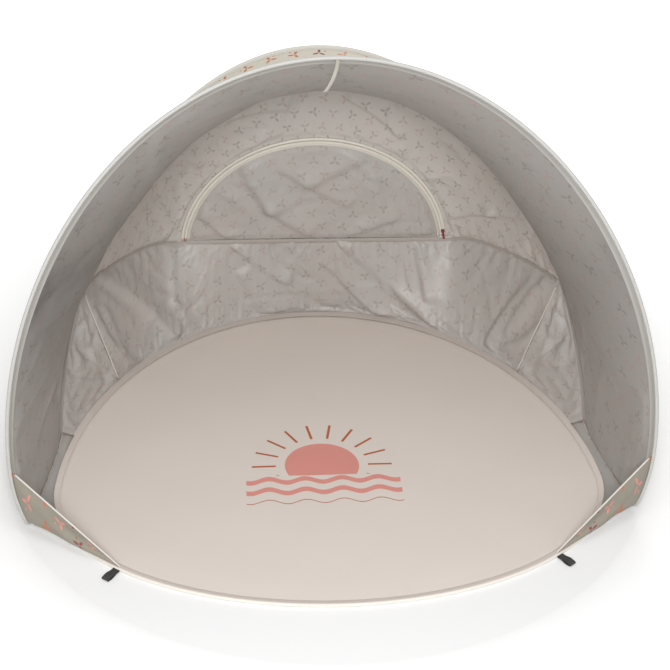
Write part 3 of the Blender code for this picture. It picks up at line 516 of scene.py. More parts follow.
def front_half():
    """The front arch from the left foot's bend up to its top."""
    def at(x, z):
        up = z / FRONT_TOP_HEIGHT
        y = FRONT_LEG_SETBACK + (FRONT_TOP_SETBACK - FRONT_LEG_SETBACK) * up
        return np.stack([-x, y - FRONT_ARCH_BELLY * up * (1 - up) + WIDEST_Y, z], -1)

    z = np.linspace(FRONT_BEND, FRONT_WIDEST_HEIGHT, PATH_STEPS // 2 + 1)
    low = (FRONT_WIDEST_HEIGHT - z) / FRONT_WIDEST_HEIGHT
    spread = (FRONT_HALF_WIDTH - FRONT_FOOT_HALF_WIDTH) * np.sqrt(1 - low ** 2)
    leg = at(FRONT_FOOT_HALF_WIDTH + spread, z)
    t = np.linspace(0, math.pi / 2, PATH_STEPS // 2 + 1)[1:]
    rise = FRONT_TOP_HEIGHT - FRONT_WIDEST_HEIGHT
    arch = at(FRONT_HALF_WIDTH * np.cos(t), FRONT_WIDEST_HEIGHT + rise * np.sin(t))
    foot = leg[0] + [0, FRONT_BEND, WIRE_HEIGHT - FRONT_BEND]
    corner = np.array([leg[0][0], leg[0][1], WIRE_HEIGHT])
    return np.concatenate([bezier(foot, corner, leg[0], PATH_STEPS // 4)[:-1], leg, arch])


def rear_half():
    """The rear arch from the left foot's bend up to its top."""
    lean = (REAR_TOP_SETBACK - REAR_LEG_SETBACK) / REAR_TOP_HEIGHT

    def at(x, z):
        return np.stack([-x, REAR_LEG_SETBACK + lean * z + WIDEST_Y, z], -1)

    lift = REAR_BEND / math.sqrt(1 + lean ** 2)
    start = math.asin((WIRE_HEIGHT + lift) / REAR_TOP_HEIGHT)
    t = np.linspace(start, math.pi / 2, PATH_STEPS + 1)
    arch = at(REAR_HALF_WIDTH * np.cos(t), REAR_TOP_HEIGHT * np.sin(t))
    corner = at(np.float64(REAR_HALF_WIDTH), np.float64(WIRE_HEIGHT))
    foot = corner - [0, REAR_BEND, 0]
    return np.concatenate([bezier(foot, corner, arch[0], PATH_STEPS // 4)[:-1], arch])


def whole_arch(half):
    """The arch from its left foot to its right one, at even stations."""
    other = (half[:-1] * [-1, 1, 1])[::-1]
    return resample(np.concatenate([half, other]), STATIONS)


def ground_run(front_foot, rear_foot):
    """The stretch of the hoop that lies on the ground beside the floor."""
    middle = (front_foot + rear_foot) / 2
    middle[0] -= math.copysign(RUN_TUCK, middle[0])
    return resample(bezier(front_foot, middle, rear_foot, RUN_PATH_STEPS), RUN_STATIONS)


def run_of(line, before, after):
    """The direction at each point of a line, given the neighbours beyond its ends."""
    chain = np.concatenate([[before], line, [after]])
    return unit(chain[2:] - chain[:-2])


FRONT = whole_arch(front_half())
REAR = whole_arch(rear_half())
RUNS = {"left": ground_run(FRONT[0], REAR[0]), "right": ground_run(FRONT[-1], REAR[-1])}
FRONT_RUN = run_of(FRONT, RUNS["left"][1], RUNS["right"][1])
REAR_RUN = run_of(REAR, RUNS["left"][-2], RUNS["right"][-2])


def foot_row(run, above):
    """The canopy cloth's lowest row, held in the binding of the ground run."""
    total = np.linalg.norm(np.diff(run, axis=0), axis=1).sum()
    first = FOOT_COLUMN_STEP / total
    even = [k / BAND_COLUMNS for k in range(1, BAND_COLUMNS)]
    shares = np.array([0.0, first] + even + [1 - first, 1.0])
    fine, steps = resample(run, RUN_FINE_STEPS), np.arange(RUN_FINE_STEPS + 1)
    places = read_at(shares * RUN_FINE_STEPS, steps, fine)
    along = unit(run[-1] - run[0])
    a, b = square_to(above[1] - run[0], along), square_to(above[-2] - run[-1], along)
    return places + unit(a + (b - a) * shares[:, None]) * EDGE_IN_BINDING


def band_rows():
    """The canopy cloth from the left foot over the top to the right foot, front to rear."""
    station = np.arange(STATIONS + 1)
    climb = np.clip(np.minimum(station, STATIONS - station) / SAG_FADE_STATIONS, 0, 1)
    fade = (climb ** 2 * (3 - 2 * climb))[:, None, None]
    chord = REAR - FRONT
    heart = np.stack([np.zeros(len(FRONT)), FRONT[:, 1] + chord[:, 1] / 2,
                      np.full(len(FRONT), HEART_HEIGHT_SHARE * FRONT_TOP_HEIGHT)], -1)
    inward = square_to(heart - (FRONT + REAR) / 2, unit(chord))
    v = (np.arange(1, BAND_COLUMNS) / BAND_COLUMNS)[None, :, None]
    length = np.linalg.norm(chord, axis=1)[:, None, None]
    inside = FRONT[:, None] + chord[:, None] * v
    inside = inside + inward[:, None] * 4 * v * (1 - v) * BAND_SAG_SHARE * fade * length
    into_front = square_to(inside[:, 0] - FRONT, FRONT_RUN)
    into_rear = square_to(inside[:, -1] - REAR, REAR_RUN)
    reach = TAIL_LENGTH + BINDING_THICKNESS * 2
    ends = [FRONT + into_front * EDGE_IN_BINDING, FRONT + into_front * reach]
    others = [REAR + into_rear * reach, REAR + into_rear * EDGE_IN_BINDING]
    rows = np.concatenate([np.stack(ends, 1), inside, np.stack(others, 1)], axis=1)
    rows[0] = foot_row(RUNS["left"], rows[1])
    rows[-1] = foot_row(RUNS["right"], rows[-2])
    return rows


BAND = band_rows()
LINED_BINDING = binding_finish("lined_binding_tape", lined=LINING_TAPE_GREY)
ARCH_BINDING = binding_finish("arch_binding_tape", cloth=ARCH_TAPE_CREAM)
COARSE = np.arange(STATIONS + 1)
SMOOTH = np.linspace(0, STATIONS, STATIONS * FINE + 1)
for name, line, along, held_columns in (
        ("front", FRONT, FRONT_RUN, (0, 1)), ("rear", REAR, REAR_RUN, (-1, -2))):
    held = BAND[:, held_columns[1]].copy()
    held[[0, -1]] = BAND[[0, -1], held_columns[0]]
    inward = square_to(held - line, along)
    tail = np.full(STATIONS + 1, FRONT_TAIL_LENGTH if name == "front" else TAIL_LENGTH)
    tail[[0, -1]] = FOOT_TAIL_LENGTH
    line, inward, along = (fair(table, COARSE, SMOOTH) for table in (line, inward, along))
    tail = np.interp(SMOOTH, COARSE, tail)
    profiles = np.stack([binding_profile(length) for length in tail])
    rows = bound_edge(line, square_to(inward, unit(along)), unit(along), profiles)
    tape = ARCH_BINDING if name == "front" else LINED_BINDING
    piece = surface("arch_binding_" + name, rows, [tape], BINDING_THICKNESS)
    fitted(piece, "tent", "binding", "canopy_sleeve_" + name)
for side, run in RUNS.items():
    end = 0 if side == "left" else -1
    next_in = (1, 1) if side == "left" else (-2, -2)
    along = run_of(run, FRONT[next_in[0]], REAR[next_in[1]])
    line = run.copy()
    line[0] += along[0] * FOOT_GAP
    line[-1] -= along[-1] * FOOT_GAP
    share = np.linspace(0, 1, RUN_STATIONS + 1)[:, None]
    a, b = BAND[end][0] - run[0], BAND[end][-1] - run[-1]
    inward = square_to(a + (b - a) * share, along)
    knots = np.arange(RUN_STATIONS + 1)
    goals = np.linspace(0, RUN_STATIONS, RUN_STATIONS * FINE + 1)
    line, inward, along = (fair(table, knots, goals) for table in (line, inward, along))
    profile = binding_profile(FOOT_TAIL_LENGTH)
    profiles = np.broadcast_to(profile, (len(line),) + profile.shape)
    rows = bound_edge(line, square_to(inward, unit(along)), unit(along), profiles)
    piece = surface("foot_binding_" + side, rows, [ARCH_BINDING], BINDING_THICKNESS)
    fitted(piece, "tent", "binding", "foot_sleeve_" + side)

# Roof cloth. One printed panel from foot to foot over the top, sewn into the bindings
# of both arches. It sags inward between them and wrinkles where the seams pull it.
CABIN_HEART = (0, 0, 0.35)
BAND_FINE_COLUMNS = 64
CLOTH_CREAM = (0.665, 0.622, 0.520, 1)
LEAF_RUST = (0.520, 0.150, 0.065, 1)
LEAF_PINK = (0.640, 0.250, 0.200, 1)
LEAF_WINE = (0.230, 0.050, 0.045, 1)
PRINT_INKS = (LEAF_RUST, LEAF_PINK, LEAF_WINE)
PINK_FROM = 0.4
WINE_FROM = 0.75
SPRIG_PITCH = 0.066
SPRIG_ROW = 0.050
LEAF_HALF_LENGTH = 0.0088
LEAF_HALF_WIDTH = 0.0040
LEAF_REACH = 0.0098
LEAF_TURNS = (0.0, 2.05, -2.05)
BERRY_RADIUS = 0.0026
BERRY_REACH = 0.0190
BERRY_TURN = 1.0
LEAF_SHARPNESS = 4.0
CLOTH_INK_SHARE = 0.95
CLOTH_SHADE = 0.95
LINING_INK_SHARE = 0.42
ROOF_INK_SHARE = LINING_INK_SHARE * 1.4
CRINKLES = ((0.070, 0.014), (0.030, 0.005))
CRINKLE_ROUNDING = 0.0008
CRINKLE_PATCH = 0.16
CRINKLE_DETAIL = 1.5
CRINKLE_CONTRAST = 5
CRINKLE_LEAST = 0.25
# The roof's lining colours are darker copies of the wall lining's: painted shade.
ROOF_SHADED_LINING_GREY = (0.366, 0.334, 0.304, 1)
ROOF_SHADED_SHEEN_GREY = (0.348, 0.342, 0.331, 1)
# Painted shade on the roof's lining: places across the tent, each with how much darker it makes
# the cloth at mid height.
ROOF_PAINTED_SHADE = ((-0.72, 0.56), (0.0, 0.14), (0.66, 0.26))
ROOF_PAINTED_SHADE_HEIGHT = 0.62
ROOF_PAINTED_SHADE_REACH = 0.42
SHOW_THROUGH = ((0.310, 0.250, 0.215, 1), (0.400, 0.285, 0.250, 1), (0.240, 0.195, 0.170, 1))
LINING_BLEND_SIZE = 0.22
SHEEN_PATCH = 0.09
SHEEN_SWING = 0.24
FOLD_LENGTHS = (0.5, 1.3)
FOLD_WIDTHS = (0.6, 1.5)
FOLD_SHARPNESS = 1.5
GATHER_WAVES = 4
GATHER_PITCHES = (0.7, 1.6)
GATHER_SHIFT = 6.3
GATHER_START = 0.25
ROOF_FOLDS = ((11, 30, 1.35, 0.35, 0.22, 0.034, 0.0050),
              (12, 20, 0.30, 0.50, 0.14, 0.022, 0.0026))
FRONT_GATHERS = (13, 0.030, 0.0022, 0.050)
REAR_GATHERS = (14, 0.034, 0.0026, 0.060)
ROOF_QUIET_EDGE = 0.055
ROOF_QUIET_FRONT = 0.045


def sprigs(place):
    """Ink of a print of small three-leaf sprigs in staggered rows, and each one's number."""
    u, v = place.part("X"), place.part("Y")
    row = (v / SPRIG_ROW).floor()
    slide = u / SPRIG_PITCH + (row % 2) * 0.5
    column = slide.floor()
    number = place.node("ShaderNodeTexWhiteNoise", {"noise_dimensions": "2D"}, {
        "Vector": place.node("ShaderNodeCombineXYZ", None, {0: column, 1: row})})
    x = (slide - column - 0.5) * SPRIG_PITCH
    y = (v / SPRIG_ROW - row - 0.5) * SPRIG_ROW
    turn = number * (2 * math.pi)
    c, s = turn.cosine(), turn.sine()
    x, y = x * c + y * s, y * c - x * s
    ink = 0
    for angle in LEAF_TURNS:
        c, s = math.cos(angle), math.sin(angle)
        aside = (x * c + y * s) / LEAF_HALF_WIDTH
        out = (y * c - x * s - LEAF_REACH) / LEAF_HALF_LENGTH
        leaf = ((1 - aside * aside - out * out) * LEAF_SHARPNESS).clamped()
        ink = leaf.larger(ink)
    berry_y = y - BERRY_REACH * math.cos(BERRY_TURN)
    berry_x = x - BERRY_REACH * math.sin(BERRY_TURN)
    berry = 1 - (berry_x * berry_x + berry_y * berry_y) / BERRY_RADIUS ** 2
    return ink.larger((berry * LEAF_SHARPNESS).clamped()), number


def canvas_finish(name, ground, blotch_and_sheen, inks, share, roughness, crumple, painted_shade=()):
    """Thin printed polyester: share is how strongly the print shows on this side. Its ground
    blends at random into a second colour, which on the linings is painted sheen.

    Crumple is how deep its small creases are, which gather in patches. Painted shade lists
    places across the tent where the cloth is darkened at mid height as painted shade, each
    with how much."""
    material, shader, place = new_finish(name, roughness)
    ink, number = sprigs(place)
    leaf = (number > PINK_FROM).between(inks[0], inks[1])
    leaf = (number > WINE_FROM).between(leaf, inks[2])
    # The second ground colour, blended in at random, is tone on the outside and painted sheen on
    # the linings.
    base = place.noise(LINING_BLEND_SIZE, 3.0).between(ground, blotch_and_sheen)
    colour = (ink * share).between(base, leaf)
    # Painted shade: the cloth is darkened at mid height near each listed place.
    if painted_shade:
        solid = place.solid()
        level = 1 - abs(solid.part("Z") - ROOF_PAINTED_SHADE_HEIGHT) / ROOF_PAINTED_SHADE_REACH
        deep = 0
        for x, much in painted_shade:
            near = (1 - abs(solid.part("X") - x) / ROOF_PAINTED_SHADE_REACH).clamped()
            deep = near * much + deep
        deep = deep * level.clamped()
        colour = deep.between(colour, (0, 0, 0, 1))
    place.feed(shader.inputs["Base Color"], colour)
    gloss = place.noise(SHEEN_PATCH) * SHEEN_SWING + (roughness - SHEEN_SWING / 2)
    place.feed(shader.inputs["Roughness"], gloss)
    relief = 0
    for size, depth in CRINKLES:
        ridge = place.noise(size, CRINKLE_DETAIL) - 0.5
        relief = (ridge * ridge + CRINKLE_ROUNDING).root() * depth + relief
    patch = ((place.noise(CRINKLE_PATCH) - 0.5) * CRINKLE_CONTRAST + 0.5).clamped()
    relief = relief * (patch + CRINKLE_LEAST) * crumple
    crinkle = place.node("ShaderNodeBump", None, {"Distance": 1.0, "Height": relief})
    place.feed(shader.inputs["Normal"], crinkle)
    return material


CANVAS_OUT = canvas_finish("printed_canvas_outside", CLOTH_CREAM,
                           darker(CLOTH_CREAM, CLOTH_SHADE), PRINT_INKS,
                           share=CLOTH_INK_SHARE, roughness=0.66, crumple=0.5)
# The roof's lining is drawn in painted shade, darker than the same cloth on the walls.
ROOF_IN_SHADED = canvas_finish("roof_lining_painted_shade", ROOF_SHADED_LINING_GREY, ROOF_SHADED_SHEEN_GREY, SHOW_THROUGH,
                        share=ROOF_INK_SHARE, roughness=0.55, crumple=0.25,
                        painted_shade=ROOF_PAINTED_SHADE)


def grid_normals(rows, heart):
    """The outward direction at each point of a grid of cloth."""
    normal = unit(np.cross(np.gradient(rows, axis=0), np.gradient(rows, axis=1)))
    away = rows - np.asarray(heart)
    return normal * (1 if np.sum(normal * away) > 0 else -1)


def raised(rows, heights):
    """A grid of cloth, moved outward from the cabin by a height at each point."""
    return rows + grid_normals(rows, CABIN_HEART) * heights[..., None]


def flat_map(rows):
    """Metres along and across a grid of cloth, from its first corner."""
    along = np.linalg.norm(np.diff(rows, axis=0), axis=2).mean(axis=1)
    across = np.linalg.norm(np.diff(rows, axis=1), axis=2).mean(axis=0)
    u = np.concatenate([[0], along.cumsum()])
    v = np.concatenate([[0], across.cumsum()])
    return np.meshgrid(u, v, indexing="ij")


def edge_fade(u, v, sides, width):
    """0 on the sewn sides of a panel, and 1 beyond a given width from them."""
    near = np.full(u.shape, np.inf)
    for side, distance in (("start", u), ("end", u.max() - u), ("low", v), ("high", v.max() - v)):
        if side in sides:
            near = np.minimum(near, distance)
    share = np.clip(near / width, 0, 1)
    return share * share * (3 - 2 * share)


def folds(u, v, seed, count, heading, spread, length, width, height):
    """Soft creases scattered over a panel, lying about one heading, as heights.

    The heading and its spread are in radians. Length, width and height are one crease's."""
    dice = np.random.default_rng(seed)
    total = np.zeros(u.shape)
    for _ in range(count):
        a, b = dice.uniform(0, u.max()), dice.uniform(0, v.max())
        turn = heading + dice.normal(0, spread)
        reach, half = length * dice.uniform(*FOLD_LENGTHS), width * dice.uniform(*FOLD_WIDTHS)
        x, y = u - a, v - b
        along = x * math.cos(turn) + y * math.sin(turn)
        aside = y * math.cos(turn) - x * math.sin(turn)
        aside = aside + dice.uniform(-1, 1) * along ** 2 / reach / 2
        crest = 1 / (1 + (aside / half) ** 2) ** FOLD_SHARPNESS
        total += dice.choice([-1, 1]) * crest * np.exp(-(along / reach) ** 2) * height
    return total


def puckers(distance, run, seed, pitch, depth, reach):
    """Short gathers that start at a seam: distance from it, and metres along it."""
    dice = np.random.default_rng(seed)
    wave = np.zeros(distance.shape)
    for _ in range(GATHER_WAVES):
        size = pitch * dice.uniform(*GATHER_PITCHES)
        shift = dice.uniform(0, GATHER_SHIFT)
        wave += np.sin(run / size * 2 * math.pi + shift) / GATHER_WAVES
    start = np.clip(distance / (reach * GATHER_START), 0, 1)
    return wave * depth * start * np.exp(-distance / reach)


chord = np.linalg.norm(REAR - FRONT, axis=1).mean()
reach = TAIL_LENGTH + BINDING_THICKNESS * 2
inner_knots = [chord * k / BAND_COLUMNS for k in range(1, BAND_COLUMNS)]
knots = [EDGE_IN_BINDING, reach] + inner_knots + [chord - reach, chord - EDGE_IN_BINDING]
goals = np.concatenate([[EDGE_IN_BINDING, (EDGE_IN_BINDING + reach) / 2],
                        np.linspace(reach, chord - reach, BAND_FINE_COLUMNS),
                        [chord - (EDGE_IN_BINDING + reach) / 2, chord - EDGE_IN_BINDING]])
rows = fair_across(fair(BAND, COARSE, SMOOTH), knots, goals)
u, v = flat_map(rows)
swell = sum(folds(u, v, *kind) for kind in ROOF_FOLDS)
swell += puckers(v - v.min(), u, *FRONT_GATHERS)
swell += puckers(v.max() - v, u, *REAR_GATHERS)
behind_tail = np.maximum(v - v.min() - FRONT_TAIL_LENGTH / 2, 0)
tucked = edge_fade(u, v, ("start", "end", "high"), ROOF_QUIET_EDGE)
tucked = tucked * edge_fade(u, behind_tail, ("low",), ROOF_QUIET_FRONT)
rows = raised(rows, swell * tucked)
roof_cloth = surface("roof_cloth", rows, [CANVAS_OUT, ROOF_IN_SHADED], CLOTH_THICKNESS, CABIN_HEART)
fitted(roof_cloth, "tent", "printed_canvas", "roof_band")

# Back wall. Two printed panels meet in a gathered seam across the back: the upper one
# fills the rear arch round the window, and the lower one stands on the floor hoop.
SEAM_HEIGHT = 0.290
SEAM_SETBACK = 0.910
SEAM_STATION = 7
SEAM_GAP = 0.0003
SEAT_GAP = 0.0004
SEAM_MIDDLE_COLUMNS = 8
WALL_COLUMNS = 6
WALL_BEND_POWER = 1.7
LOWER_BELLY = 0.006
PIPING_FOOT_Y = 0.530
WINDOW_RADIUS = 0.420
WINDOW_CENTRE_DROP = 0.045
WINDOW_WALL_EDGE = 0.008
WINDOW_FLAT_EDGE = 0.018
NOSE_EDGE = NOSE_RADIUS + BINDING_THICKNESS / 2 + SEAT_GAP
RIM_SEAT_TURN = math.radians(72)
RIM_SEAT = (WIRE_HEIGHT + NOSE_RADIUS * math.sin(RIM_SEAT_TURN) + BINDING_THICKNESS / 2
            + SEAT_GAP)
RIM_POINTS = 401
PLANE_LEAN = (REAR_TOP_SETBACK - SEAM_SETBACK) / (REAR_TOP_HEIGHT - SEAM_HEIGHT)
PLANE_UP = unit(np.array([0, PLANE_LEAN, 1]))
PLANE_IN = unit(np.array([0, -1, PLANE_LEAN]))
SEAM_MIDDLE = np.array([0, SEAM_SETBACK + WIDEST_Y, SEAM_HEIGHT])
WINDOW_CENTRE = SEAM_MIDDLE - PLANE_UP * WINDOW_CENTRE_DROP
UPPER_FINE_COLUMNS = 64
LOWER_FINE_ROWS = 60
LOWER_FINE_COLUMNS = 280
# The lining's cool colour, blended in patches, is painted sheen.
LINING_GREY = (0.452, 0.409, 0.370, 1)
LINING_SHEEN_GREY = (0.428, 0.419, 0.409, 1)
# The upper wall's lining colours are lighter copies of the lining's: painted light.
UPPER_LIT_LINING_GREY = (0.545, 0.503, 0.458, 1)
UPPER_LIT_SHEEN_GREY = (0.525, 0.512, 0.492, 1)
UPPER_INK_SHARE = LINING_INK_SHARE * 1.2
CREASE_EASE = 3.0
CREASE_FADE = 0.035
ALL_SIDES = ("start", "end", "low", "high")
UPPER_FOLDS = ((21, 14, 0.9, 0.5, 0.15, 0.022, 0.0060),
               (22, 46, -0.7, 0.5, 0.07, 0.011, 0.0022))
UPPER_LEFT_GATHERS = (23, 0.024, 0.0030, 0.050)
UPPER_RIGHT_GATHERS = (24, 0.026, 0.0030, 0.050)
UPPER_ARCH_GATHERS = (25, 0.030, 0.0022, 0.045)
UPPER_QUIET_SIDE = 0.012
UPPER_QUIET_EDGE = 0.030
UPPER_CREASES = (
    ((0.39, 0.32), (0.36, 0.10), 0.010, 0.0104),
    ((0.33, 0.35), (0.30, 0.15), 0.009, 0.0084),
    ((0.34, 0.375), (0.52, 0.19), 0.014, 0.0143),
    ((0.52, 0.19), (0.72, 0.14), 0.014, 0.0143),
    ((0.18, 0.37), (0.16, 0.20), 0.010, 0.0078),
    ((0.93, 0.17), (1.12, 0.10), 0.012, 0.0104),
    ((1.55, 0.05), (1.53, 0.20), 0.009, 0.0091),
    ((1.53, 0.20), (1.51, 0.35), 0.010, 0.0091),
)
LOWER_FOLDS = ((31, 12, 0.85, 0.22, 0.20, 0.022, 0.0060),
               (35, 5, -0.6, 0.3, 0.14, 0.016, 0.0050),
               (32, 60, 0.4, 0.9, 0.05, 0.009, 0.0020))
LOWER_LEFT_GATHERS = (33, 0.026, 0.0042, 0.060)
LOWER_RIGHT_GATHERS = (34, 0.022, 0.0046, 0.050)
LOWER_QUIET_EDGE = 0.022
LOWER_CREASES = (
    ((0.01, 0.09), (0.29, 0.41), 0.017, 0.0195),
    ((0.02, 0.39), (0.19, 0.41), 0.018, 0.0130),
    ((0.01, 0.60), (0.16, 0.78), 0.012, 0.0117),
    ((0.13, 0.64), (0.31, 0.74), 0.016, 0.0130),
    ((0.01, 0.97), (0.30, 1.28), 0.013, 0.0143),
    ((0.09, 0.92), (0.31, 1.10), 0.012, 0.0104),
    ((0.00, 1.24), (0.20, 1.26), 0.012, 0.0130),
    ((0.05, 1.67), (0.27, 1.52), 0.013, 0.0143),
    ((0.03, 1.71), (0.21, 1.62), 0.010, 0.0091),
    ((0.10, 0.06), (0.23, 0.09), 0.010, 0.0104),
)
SETTLE_FRAMES = 18
SETTLE_QUALITY = 5
SETTLE_SLACK = 0.012
SETTLE_LIMIT = 0.009
CLOTH_MASS = 0.12
CLOTH_STRETCH = 12
CLOTH_SHEAR = 4
CLOTH_BEND = 0.02
CLOTH_WEIGHT_SHARE = 0.25


def in_window(radius, angle, lift=0.0):
    """Places in the window's plane: angle 0 is straight up, lift is toward the cabin."""
    radius, angle, lift = (np.asarray(table, float) for table in (radius, angle, lift))
    radius, angle, lift = np.broadcast_arrays(radius, angle, lift)
    aside = (radius * np.sin(angle))[..., None] * [1, 0, 0]
    place = WINDOW_CENTRE + aside + (radius * np.cos(angle))[..., None] * PLANE_UP
    return place + lift[..., None] * PLANE_IN


def end_angle(radius, height):
    """The angle where an arc meets a level a given height above the seam."""
    return math.acos((WINDOW_CENTRE_DROP + height) / radius)


def rim_angle(y, right):
    """The floor hoop's angle where it passes a given distance behind its widest line."""
    angle = math.asin(y / (FLOOR_REAR_DEPTH if y > 0 else FLOOR_FRONT_DEPTH))
    return angle if right else math.pi - angle


def upper_wall():
    """The cloth from the window's edge to the rear arch, left seam end to right seam end."""
    outer = REAR[SEAM_STATION:STATIONS + 1 - SEAM_STATION]
    share = np.linspace(-1, 1, len(outer))
    columns = []
    for radius in (WINDOW_RADIUS + WINDOW_WALL_EDGE, WINDOW_RADIUS + WINDOW_FLAT_EDGE):
        columns.append(in_window(radius, end_angle(radius, 0) * share))
    inner = columns.pop()
    flat = inner[:, 1] + (outer[:, 2] - inner[:, 2]) * PLANE_LEAN
    for k in range(WALL_COLUMNS):
        place = inner + (outer - inner) * k / WALL_COLUMNS
        place[:, 1] = inner[:, 1] + (place[:, 2] - inner[:, 2]) * PLANE_LEAN
        place[:, 1] += (outer[:, 1] - flat) * (k / WALL_COLUMNS) ** WALL_BEND_POWER
        columns.append(place)
    run = REAR_RUN[SEAM_STATION:STATIONS + 1 - SEAM_STATION]
    return np.stack(columns + [outer + square_to(columns[-1] - outer, run) * NOSE_EDGE], 1)


UPPER = upper_wall()
span = len(UPPER) - 1
across = np.linalg.norm(np.diff(UPPER, axis=1), axis=2).mean(axis=0)
knots = np.concatenate([[0], across.cumsum()])
goals = np.concatenate([[0], np.linspace(knots[1], knots[-1], UPPER_FINE_COLUMNS)])
rows = fair(UPPER, np.arange(span + 1), np.linspace(0, span, span * FINE + 1))
UPPER_FINE = fair_across(rows, knots, goals)


def lower_wall():
    """The cloth from the gathered seam down to the floor rim, left to right."""
    left, right = UPPER_FINE[0][::-1], UPPER_FINE[-1]
    share = np.arange(1, SEAM_MIDDLE_COLUMNS)[:, None] / SEAM_MIDDLE_COLUMNS
    top = np.concatenate([left, left[-1] + (right[0] - left[-1]) * share, right])
    u = (top[:, 0] - top[0, 0]) / (top[-1, 0] - top[0, 0])
    goals = np.linspace(0, 1, LOWER_FINE_COLUMNS + 1)
    top = read_at(goals, u, top)
    a, b = rim_angle(PIPING_FOOT_Y, False), rim_angle(PIPING_FOOT_Y, True)
    rim = floor_rim(np.linspace(a, b, RIM_POINTS), 0, RIM_SEAT)
    rim = resample(rim, LOWER_FINE_COLUMNS)
    t = np.linspace(0, 1, LOWER_FINE_ROWS + 1)[:, None]
    rows = top[None] * (1 - t)[..., None] + rim[None] * t[..., None]
    rows[..., 1] += LOWER_BELLY * 4 * t * (1 - t) * 4 * goals * (1 - goals)
    return rows


CANVAS_IN = canvas_finish("printed_canvas_inside", LINING_GREY, LINING_SHEEN_GREY, SHOW_THROUGH,
                          share=LINING_INK_SHARE, roughness=0.46, crumple=0.6)
# The upper wall's lining is drawn in painted light, lighter than the same cloth below.
UPPER_IN_LIT = canvas_finish("upper_wall_lining_painted_light", UPPER_LIT_LINING_GREY, UPPER_LIT_SHEEN_GREY,
                         SHOW_THROUGH, share=UPPER_INK_SHARE, roughness=0.5,
                         crumple=0.6)


def creases(u, v, marks):
    """Long folds pulled from one place to another, steep on one side and easy on the other."""
    total = np.zeros(u.shape)
    for (a, b), (c, d), half, height in marks:
        length = math.hypot(c - a, d - b)
        along = ((u - a) * (c - a) + (v - b) * (d - b)) / length
        aside = ((v - b) * (c - a) - (u - a) * (d - b)) / length
        wide = np.where(aside > 0, half * CREASE_EASE, half)
        inside = np.clip(np.minimum(along, length - along) / CREASE_FADE + 1, 0, 1)
        total += np.exp(-(aside / wide) ** 2) * inside * inside * (3 - 2 * inside) * height
    return total


def settled(rows, held):
    """The panel as its cloth settles: cut a little large and held where it is sewn.

    No place moves further than the limit from where it was drawn."""
    trial = surface("settling_cloth", rows, [], 0)
    sewn = trial.vertex_groups.new(name="sewn")
    sewn.add(np.flatnonzero(held).tolist(), 1.0, "REPLACE")
    cloth = trial.modifiers.new("cloth", "CLOTH")
    cloth.settings.quality = SETTLE_QUALITY
    cloth.settings.mass = CLOTH_MASS
    cloth.settings.tension_stiffness = CLOTH_STRETCH
    cloth.settings.compression_stiffness = CLOTH_STRETCH
    cloth.settings.shear_stiffness = CLOTH_SHEAR
    cloth.settings.bending_stiffness = CLOTH_BEND
    cloth.settings.vertex_group_mass = "sewn"
    cloth.settings.shrink_min = -SETTLE_SLACK
    cloth.settings.effector_weights.gravity = CLOTH_WEIGHT_SHARE
    cloth.collision_settings.use_collision = False
    cloth.point_cache.frame_start = 1
    cloth.point_cache.frame_end = SETTLE_FRAMES
    for step in range(1, SETTLE_FRAMES + 1):
        bpy.context.scene.frame_set(step)
    mesh = trial.evaluated_get(bpy.context.evaluated_depsgraph_get()).data
    places = np.empty(len(mesh.vertices) * 3)
    mesh.vertices.foreach_get("co", places)
    bpy.context.scene.frame_set(1)
    bpy.data.objects.remove(trial)
    moved = places.reshape(rows.shape) - rows
    far = np.linalg.norm(moved, axis=-1, keepdims=True)
    return rows + moved * SETTLE_LIMIT * np.tanh(far / SETTLE_LIMIT) / np.maximum(far, 1e-9)


LOWER = lower_wall()
rows = UPPER_FINE
u, v = flat_map(rows)
swell = sum(folds(u, v, *kind) for kind in UPPER_FOLDS)
swell -= creases(u, v, UPPER_CREASES)
swell += puckers(u, v, *UPPER_LEFT_GATHERS) + puckers(u.max() - u, v, *UPPER_RIGHT_GATHERS)
swell += puckers(v.max() - v, u, *UPPER_ARCH_GATHERS)
tucked = edge_fade(u, v - UPPER_QUIET_SIDE, ALL_SIDES, UPPER_QUIET_EDGE)
rows = settled(raised(rows, swell * tucked), (tucked <= 0) | (v < WINDOW_FLAT_EDGE))
upper_panel = surface("back_wall_above_seam", rows, [CANVAS_OUT, UPPER_IN_LIT], CLOTH_THICKNESS,
                      CABIN_HEART)
fitted(upper_panel, "tent", "printed_canvas", "back_wall_upper")
rows = LOWER
u, v = flat_map(rows)
swell = sum(folds(u, v, *kind) for kind in LOWER_FOLDS)
swell -= creases(u, v, LOWER_CREASES)
swell += puckers(u, v, *LOWER_LEFT_GATHERS)
swell += puckers(u.max() - u, v, *LOWER_RIGHT_GATHERS)
tucked = edge_fade(u, v, ALL_SIDES, LOWER_QUIET_EDGE)
rows = settled(raised(rows, swell * tucked), tucked <= 0)
lower_panel = surface("back_wall_below_seam", rows, [CANVAS_OUT, CANVAS_IN], CLOTH_THICKNESS,
                      CABIN_HEART)
fitted(lower_panel, "tent", "printed_canvas", "back_wall_lower")

# Gathered seam. A narrow tape of the same cloth covers the raw edges on the cabin side
# and follows the small puckers of the two panels it joins.
SEAM_TAPE_UP = 0.003
SEAM_TAPE_COVER = 0.0078
SEAM_TAPE_DOWN = 0.007
TAPE_THICKNESS = 0.0006
TAPE_LIFT = CLOTH_THICKNESS / 2 + SEAM_GAP + TAPE_THICKNESS / 2
TAPE_PUCKER = 0.0007
TAPE_PITCH = 0.013
TAPE_SECOND_WAVE = 1.7
TAPE_SHADE = 0.84
TAPE_THREAD_SHADE = 0.6
TAPE_END_STEPS = 2


def mitre(first, second):
    """The way to move a bend's line so that it clears both faces by one unit."""
    middle = unit(first + second)
    return middle / np.sum(middle * first, -1, keepdims=True)


